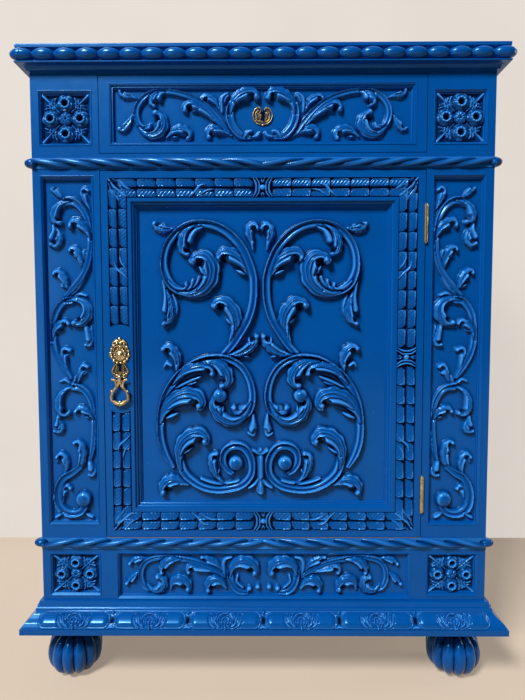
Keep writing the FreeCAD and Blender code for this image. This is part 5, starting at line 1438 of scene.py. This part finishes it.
def cut_out(field, threshold, back):
    """The raised part of a small field as a closed shape, its front towards -Y."""
    heights = field.height
    solid = heights > threshold
    cells = (solid[:-1, :-1].astype(int) + solid[:-1, 1:] + solid[1:, 1:] + solid[1:, :-1]) >= 3
    gx, gz = np.meshgrid(field.x, field.z)
    rows, columns = gx.shape
    front = np.stack([gx, -np.maximum(heights, 0.05), gz], 2).reshape(-1, 3)
    behind = np.stack([gx, np.full(gx.shape, back), gz], 2).reshape(-1, 3)
    total = rows * columns
    faces = []
    padded = np.pad(cells, 1)
    for j, i in zip(*np.nonzero(cells)):
        a, b = j * columns + i, j * columns + i + 1
        c, d = (j + 1) * columns + i + 1, (j + 1) * columns + i
        faces.append((a, b, c, d))
        faces.append((d + total, c + total, b + total, a + total))
        for empty, (start, end) in ((padded[j, i + 1], (a, b)), (padded[j + 1, i + 2], (b, c)),
                                    (padded[j + 2, i + 1], (c, d)), (padded[j + 1, i], (d, a))):
            if not empty:
                faces.append((end, start, start + total, end + total))
    places = np.vstack([front, behind])
    used = np.unique(np.array([v for side in faces for v in side]))
    new = np.full(len(places), -1)
    new[used] = np.arange(len(used))
    return places[used], [tuple(int(new[v]) for v in side) for side in faces]


def arched_end():
    """The thin arched top of the plain pad, standing on the band's floor."""
    turns = np.radians(np.linspace(0, 180, 13))
    outline = [(-13.4 * math.cos(a), 0.2 + 4.2 * math.sin(a)) for a in turns]
    count = len(outline)
    places = [(x, -3.5, z) for x, z in outline] + [(x, 0.2, z) for x, z in outline]
    faces = [tuple(range(count)), tuple(range(2 * count - 1, count - 1, -1))]
    faces += [(k, k + count, (k + 1) % count + count, (k + 1) % count) for k in range(count)]
    return outward((np.array(places, float), faces))


def make_band():
    y = band_floor_y - 0.1
    inner_low, inner_high = band_outer_low + band_width, band_outer_high - band_width
    middle = (band_outer_low + band_outer_high) / 2
    inner_x = band_outer_x - band_width
    pad_low, pad_high = 398.0, 513.0
    parts = []

    def both_sides(shape):
        parts.extend([shape, mirrored_shape(shape)])

    def upside_down(shape):
        places, sides = mirrored_shape(moved(shape, (0, 0, -middle)), 2)
        return places + np.array([0, 0, middle]), sides

    across = moved(band_arm(7), (-knot_half, y, inner_high))
    crossing = moved(band_crossing(), (-102.0, y, inner_high))
    corner = moved(band_corner(), (-band_outer_x, y, band_outer_high - corner_size))
    upright = moved(sideways(mirrored_shape(moved(band_crossing(), (-crossing_long, 0, 0)))),
                    (inner_x, y, band_outer_high - 101.0))
    for shape in (across, crossing, corner, upright):
        both_sides(shape)
        both_sides(upside_down(shape))
    knot = band_knot()
    lying = sideways(moved(knot, (-knot_half, 0, -knot_half)))
    parts.append(moved(lying, (0, y, inner_high + knot_half)))
    parts.append(moved(lying, (0, y, inner_low - knot_half)))
    parts.append(moved(knot, (inner_x, y, middle - knot_half)))
    tall_arm = moved(sideways(band_arm(8)), (inner_x, y, middle + knot_half))
    parts.extend([tall_arm, upside_down(tall_arm)])
    left_upper = moved(sideways(band_arm(7)), (inner_x, y, pad_high + 4.5))
    left_lower = moved(sideways(band_arm(6)), (inner_x, y, 2 * middle - pad_low + 4.5))
    parts.append(mirrored_shape(left_upper))
    parts.append(mirrored_shape(upside_down(left_lower)))
    parts.append(box_shape((-band_outer_x, front_y, pad_low),
                           (-inner_x, front_y + 3.6, pad_high + 0.4)))
    arch = moved(arched_end(), (-inner_x - band_width / 2, y, pad_high))
    parts.append(arch)
    parts.append(upside_down(moved(arch, (0, 0, 2 * middle - pad_low - pad_high))))
    # A thin floor under the leaves, lying low enough that its hollow mark paints it dark as shade
    parts.append(framed((-band_outer_x, band_outer_low, band_outer_x, band_outer_high),
                        ((0.0, 3.3), (band_width, 3.3), (band_width, 3.9))))
    shape = together(parts)
    # Painted shade on the low parts and the floor, painted highlight on the leaves' top edges
    height = band_floor_y - shape[0][:, 1]
    made = piece("carved_band_leaves", *shape, "door", "blue_paint", 55.0,
                 {"hollow": np.clip((3.3 - height) / 2.2, 0, 1),
                  "ridge": np.clip((height - 4.4) / 1.2, 0, 0.8)})
    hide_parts("door_band")


# Brass
plate_half = 16.0
door_plate_low = 440.5

def keyhole(field, x, z, radius, low, spread):
    """Cuts a keyhole: a round eye over a slot that widens downwards."""
    gx, gz = np.meshgrid(field.x, field.z)
    eye = np.hypot(gx - x, gz - z) < radius
    share = np.clip((z - gz) / (z - low), 0, 1)
    slot = (np.abs(gx - x) < radius * 0.5 + spread * share) & (gz < z) & (gz > low)
    field.height = np.where(eye | slot, 0.0, field.height)


def both(field, middle, points, widths, tall, section="dome"):
    """A stroke and its mirror image about an upright line."""
    for side in (-1, 1):
        line = [(middle + side * x, z) for x, z in points]
        field.stroke(line, widths, tall, section, -side, cut=0.6)


def door_plate():
    """The pierced shield, its crown and the scrolls beside the keyhole, from door_plate_low up."""
    field = Carving(2 * plate_half, 63.0, 0.4)
    gx, gz = np.meshgrid(field.x, field.z)
    middle = plate_half

    def oval(height, across, up):
        return ((gx - middle) / across) ** 2 + ((gz - height) / up) ** 2 < 1

    plate = oval(38.0, 13.4, 15.4) | oval(24.0, 9.0, 8.0) | oval(12.0, 10.4, 9.0)
    field.height = np.where(plate, 1.5, 0.0)
    both(field, middle, ((0.0, 23.6), (5.5, 25.0), (10.2, 29.5), (12.2, 36.0), (11.4, 43.0),
                         (7.5, 48.6), (2.0, 50.5)), (2.6, 3.0, 3.4, 3.2, 3.2, 2.4), 2.7)
    both(field, middle, ((1.5, 48.0), (6.0, 46.5), (8.6, 42.0), (8.4, 36.5), (6.4, 31.0)),
         (1.6, 2.6, 2.8, 2.4, 1.6), 2.5)
    both(field, middle, ((2.0, 44.5), (4.6, 43.0), (5.4, 40.0)), (1.4, 2.0, 1.2), 2.3)
    both(field, middle, ((0.0, 52.0), (4.5, 54.4), (8.6, 52.6), (10.0, 49.6)),
         (4.0, 4.6, 4.0, 2.0), 2.6, "leaf")
    both(field, middle, ((12.4, 36.6), (13.6, 35.0), (14.6, 33.4)), (3.0, 3.6, 2.4), 2.4)
    both(field, middle, ((4.6, 24.5), (4.8, 19.0), (5.8, 14.0), (4.2, 9.0)),
         (3.0, 3.0, 3.2, 3.0), 2.5)
    both(field, middle, ((5.6, 22.0), (8.2, 18.4), (10.6, 14.0), (10.4, 9.8), (7.6, 8.6)),
         (2.4, 3.6, 4.0, 3.6, 2.6), 2.7)
    both(field, middle, ((1.0, 4.2), (5.0, 3.0), (8.4, 5.0), (9.4, 8.0)), (2.0, 2.6, 2.6, 1.8), 1.7)
    for turn in range(0, 360, 24):
        a = math.radians(turn + 12)
        field.ball(middle + 12.4 * math.cos(a), 37.4 + 14.0 * math.sin(a), 2.1, 3.0, 1.2)
        field.ball(middle + 7.0 * math.cos(a), 35.4 + 7.6 * math.sin(a), 1.3, 2.6, 1.4)
    field.ball(middle, 34.2, 5.4, 2.6, 1.5)
    field.ball(middle, 34.2, 3.7, 4.0, 1.6)
    field.ball(middle, 57.0, 2.9, 3.6, 1.4)
    for side in (-1, 1):
        for x, z, radius in ((7.4, 13.6, 1.9), (4.9, 49.0, 1.1)):
            field.pit(middle + side * x, z, radius, 3.2)
    keyhole(field, middle, 20.6, 2.6, 11.6, 0.9)
    return field


def drawer_plate():
    """Two scrolls that meet at the bottom, round a keyhole."""
    field = Carving(2 * plate_half, 2 * plate_half, 0.4)
    gx, gz = np.meshgrid(field.x, field.z)
    middle = plate_half
    far = np.hypot(gx - middle, gz - 15.4)
    field.height = np.where(far < 12.6, 1.0, 0.0)
    field.height[(np.abs(gx - middle) < 3.4) & (gz > 22.5)] = 0.0
    both(field, middle, ((3.2, 7.4), (4.6, 11.0), (5.0, 15.0), (4.4, 19.0)),
         (2.0, 2.4, 2.4, 1.8), 2.4)
    both(field, middle, ((4.0, 6.8), (7.8, 8.6), (9.6, 13.0), (9.0, 19.0), (6.0, 22.4)),
         (2.0, 2.6, 2.8, 2.6, 2.0), 2.0)
    both(field, middle, ((0.0, 3.4), (6.5, 4.2), (12.0, 9.5), (13.2, 17.0), (9.8, 23.8),
                         (5.4, 25.6), (2.6, 22.6), (3.4, 19.4)),
         (2.4, 2.8, 2.8, 2.8, 2.6, 2.4, 2.2, 1.6), 2.8)
    both(field, middle, ((2.4, 22.4), (3.6, 25.4), (5.8, 27.4)), (1.6, 2.0, 1.4), 2.4)
    field.ball(middle, 2.2, 1.5, 2.4, 1.0)
    for side in (-1, 1):
        field.pit(middle + side * 7.2, 15.0, 1.2, 2.4)
    keyhole(field, middle, 19.0, 3.0, 8.4, 1.2)
    return field


def brass_piece(name, parts, body, stood_for, top_y):
    """A casting, dark where it lies deeper than its top face."""
    shape = together(parts)
    made = piece(name, *shape, body, "antique_brass", 50.0,
                 {"hollow": np.clip((shape[0][:, 1] - top_y) / 2.0, 0, 0.9)})
    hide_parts(stood_for)
    return made


def keyhole_shade(name, x, half, low, high, ground_y, body):
    """A box painted near-black behind a keyhole, as painted shade."""
    dark = box_shape((x - half, ground_y - 0.5, low), (x + half, ground_y + 0.2, high))
    piece(name, *dark, body, "blue_paint", 30.0, {"hollow": np.ones(len(dark[0]))})


def rod(points, radii, y):
    """A flat rod in an upright plane, through (x, z) places; x is from the plate's middle."""
    line = smooth_line(points, 0.9)
    share = np.linspace(0, 1, len(line))
    size = np.interp(share, np.linspace(0, 1, len(radii)), radii)
    path = np.stack([line[:, 0], np.full(len(line), y), line[:, 1]], 1)
    return tapered(path, size, size * 0.85, 10)


def make_brass():
    low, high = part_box("door_escutcheon")
    middle = (low.x + high.x) / 2 / MM
    plate = moved(cut_out(door_plate(), 0.3, -0.05),
                  (middle - plate_half, front_y, door_plate_low))
    brass_piece("pierced_door_escutcheon", [plate], "door", "door_escutcheon", front_y - 2.3)
    keyhole_shade("door_keyhole_shade", middle, 3.4, 450.5, 464.0, front_y, "door")
    low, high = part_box("drawer_escutcheon")
    centre_x, centre_z = (low.x + high.x) / 2 / MM, (low.z + high.z) / 2 / MM
    plate = moved(cut_out(drawer_plate(), 0.3, -0.05),
                  (centre_x - plate_half, field_y, centre_z - 15.4))
    brass_piece("scrolled_drawer_escutcheon", [plate], "drawer", "drawer_escutcheon",
                field_y - 2.1)
    keyhole_shade("drawer_keyhole_shade", centre_x, 3.8, centre_z - 7.5, centre_z + 7.5, field_y,
                  "drawer")
    y, pivot_z = -190.3, 446.0
    parts = [moved(sphere_shape((3.0, 2.9, 3.0), 16, 10), (0, y, pivot_z - 1.0))]
    for side in (-1, 1):
        for points, radii in (
                (((9.8, 441.4), (6.6, 440.2), (4.7, 436.0), (5.0, 431.0), (8.4, 426.4),
                  (11.4, 420.0), (11.3, 414.4), (8.6, 410.8), (3.0, 409.6)),
                 (1.3, 1.9, 1.9, 1.9, 2.1, 2.2, 2.2, 2.3, 1.6)),
                (((0.6, 444.5), (1.3, 438.0), (3.2, 432.0), (6.8, 428.2)), (2.0, 2.0, 1.8, 1.3)),
                (((10.2, 412.0), (6.0, 408.2), (0.0, 406.6)), (1.6, 2.6, 2.6))):
            parts.append(rod([(side * x, z) for x, z in points], radii, y))
        for x, z, size in ((10.9, 424.6, 2.3), (11.6, 416.0, 2.5), (7.4, 409.8, 2.6),
                           (9.9, 441.2, 1.9)):
            parts.append(moved(sphere_shape((size, size * 0.8, size), 12, 8), (side * x, y, z)))
    parts.append(moved(sphere_shape((3.4, 1.9, 2.6), 14, 8), (0, y, 409.2)))
    parts.append(rod(((0, 408.0), (0, 405.0), (0, 402.6)), (2.2, 1.7, 0.9), y))
    parts = [moved(shape, (middle, 0, 0)) for shape in parts]
    brass_piece("cast_drop_pull", parts, "pull", "drop_pull", y - 0.9)


# Camera, light and stage

def place_camera():
    data = bpy.data.cameras.new("photo_camera")
    data.lens = camera_lens
    data.clip_start = 0.01
    camera = bpy.data.objects.new("photo_camera", data)
    bpy.context.scene.collection.objects.link(camera)
    turn = (Matrix.Rotation(math.radians(camera_turn), 4, "Z")
            @ Matrix.Rotation(math.radians(90 - camera_pitch_down), 4, "X")
            @ Matrix.Rotation(math.radians(camera_roll), 4, "Z"))
    camera.matrix_world = Matrix.Translation(Vector(camera_place) * MM) @ turn
    bpy.context.scene.camera = camera


def flat_stage(name, corners, colour, glow, bounce, back_light=0.0):
    """A plain stage surface: the camera and gloss see it pale, scattered light sees it dimmer."""
    mesh = bpy.data.meshes.new(name)
    mesh.from_pydata(corners, [], [tuple(range(len(corners)))])
    made = bpy.data.objects.new(name, mesh)
    bpy.context.scene.collection.objects.link(made)
    surface, tree, shader = new_material(name + "_surface")
    place = object_place(tree)
    cloud = noise(tree, place, 3.0, 3.0)
    pale = ramp(tree, cloud, [(0.3, tuple(c * (1 - glow) for c in colour)),
                              (0.7, tuple(c * (1.03 - glow) for c in colour))])
    dim = ramp(tree, cloud, [(0.3, tuple(c * bounce for c in colour)),
                             (0.7, tuple(c * bounce * 1.04 for c in colour))])
    rays = node(tree, "ShaderNodeLightPath").outputs
    seen = math_node(tree, "ADD", rays["Is Camera Ray"],
                     math_node(tree, "ADD", rays["Is Glossy Ray"],
                               rays["Is Transmission Ray"]), True)
    light = ramp(tree, cloud, [(0.3, colour), (0.7, tuple(c * 1.02 for c in colour))])
    strength = math_node(tree, "MULTIPLY", seen, glow)
    if back_light:
        strength = math_node(tree, "ADD", strength, lit_patch(tree, place, seen, back_light))
        see_through_behind(tree, shader, rays["Is Shadow Ray"])
    feed(tree, shader, {"Base Color": mix_colour(tree, seen, dim, pale), "Roughness": 0.9,
                        "Emission Color": light, "Emission Strength": strength})
    mesh.materials.append(surface)


def lit_patch(tree, place, seen, strength):
    """The wall right behind the cabinet throws scattered light on the cabinet's back."""
    axes = node(tree, "ShaderNodeSeparateXYZ", {}, {"Vector": place}).outputs
    across = math_node(tree, "MULTIPLY", math_node(
        tree, "SUBTRACT", 0.40, math_node(tree, "ABSOLUTE", axes["X"])), 10.0, True)
    up = math_node(tree, "MULTIPLY", math_node(tree, "SUBTRACT", 0.95, axes["Z"]), 10.0, True)
    scattered = math_node(tree, "SUBTRACT", strength, math_node(tree, "MULTIPLY", seen, strength))
    return math_node(tree, "MULTIPLY", math_node(tree, "MULTIPLY", across, up), scattered)


def see_through_behind(tree, shader, shadow_ray):
    """The wall is left out of views from behind it, so that the cabinet's back shows."""
    rear = node(tree, "ShaderNodeNewGeometry").outputs["Backfacing"]
    hidden = math_node(tree, "MAXIMUM", rear, shadow_ray)
    clear = node(tree, "ShaderNodeBsdfTransparent")
    choice = node(tree, "ShaderNodeMixShader", {}, {
        0: hidden, 1: shader.outputs["BSDF"], 2: clear.outputs["BSDF"]})
    feed(tree, tree.nodes["Material Output"], {"Surface": choice.outputs["Shader"]})


def area_light(name, place, target, size, power, colour):
    data = bpy.data.lights.new(name, "AREA")
    data.shape = "RECTANGLE"
    data.size, data.size_y = size
    data.energy = power
    data.color = colour
    made = bpy.data.objects.new(name, data)
    bpy.context.scene.collection.objects.link(made)
    made.location = place
    made.rotation_euler = (Vector(target) - Vector(place)).to_track_quat("-Z", "Y").to_euler()


def set_the_stage():
    wall = 0.318
    flat_stage("pale_floor", [(-4, -4, 0), (4, -4, 0), (4, 4, 0), (-4, 4, 0)],
               (0.655, 0.54, 0.43), 0.42, 0.28)
    flat_stage("pale_backdrop", [(-4, wall, 0), (4, wall, 0), (4, wall, 4), (-4, wall, 4)],
               (0.735, 0.672, 0.615), 0.9, 0.3, 0.8)
    area_light("key_light", (-2.0, -3.4, 4.2), (0, -0.1, 0.5), (1.3, 1.3), 410.0,
               (1.0, 0.985, 0.96))
    area_light("window_fill", (-1.5, -2.3, 0.6), (0, -0.15, 0.4), (0.8, 0.9), 4.0,
               (0.93, 0.96, 1.0))
    area_light("side_fill", (2.4, 0.0, 1.1), (0.3, 0.0, 0.45), (0.5, 0.9), 9.0, (1.0, 0.98, 0.95))
    world = bpy.data.worlds.new("studio_air")
    world.use_nodes = True
    tree = world.node_tree
    rays = node(tree, "ShaderNodeLightPath").outputs
    colour = mix_colour(tree, rays["Is Camera Ray"], (0.036, 0.039, 0.043, 1.0),
                        (0.76, 0.70, 0.645, 1.0))
    feed(tree, tree.nodes["Background"], {"Color": colour, "Strength": 1.0})
    bpy.context.scene.world = world
    bpy.context.scene.view_settings.view_transform = "Standard"


finish_frame_nodes()
carve_door_panel()
make_panel_moulding()
carve_drawer_and_frieze()
carve_pilasters()
carve_rosettes()
edge_steps()
make_ropes()
make_cornice()
make_base()
make_feet()
make_band()
make_brass()
place_camera()
set_the_stage()

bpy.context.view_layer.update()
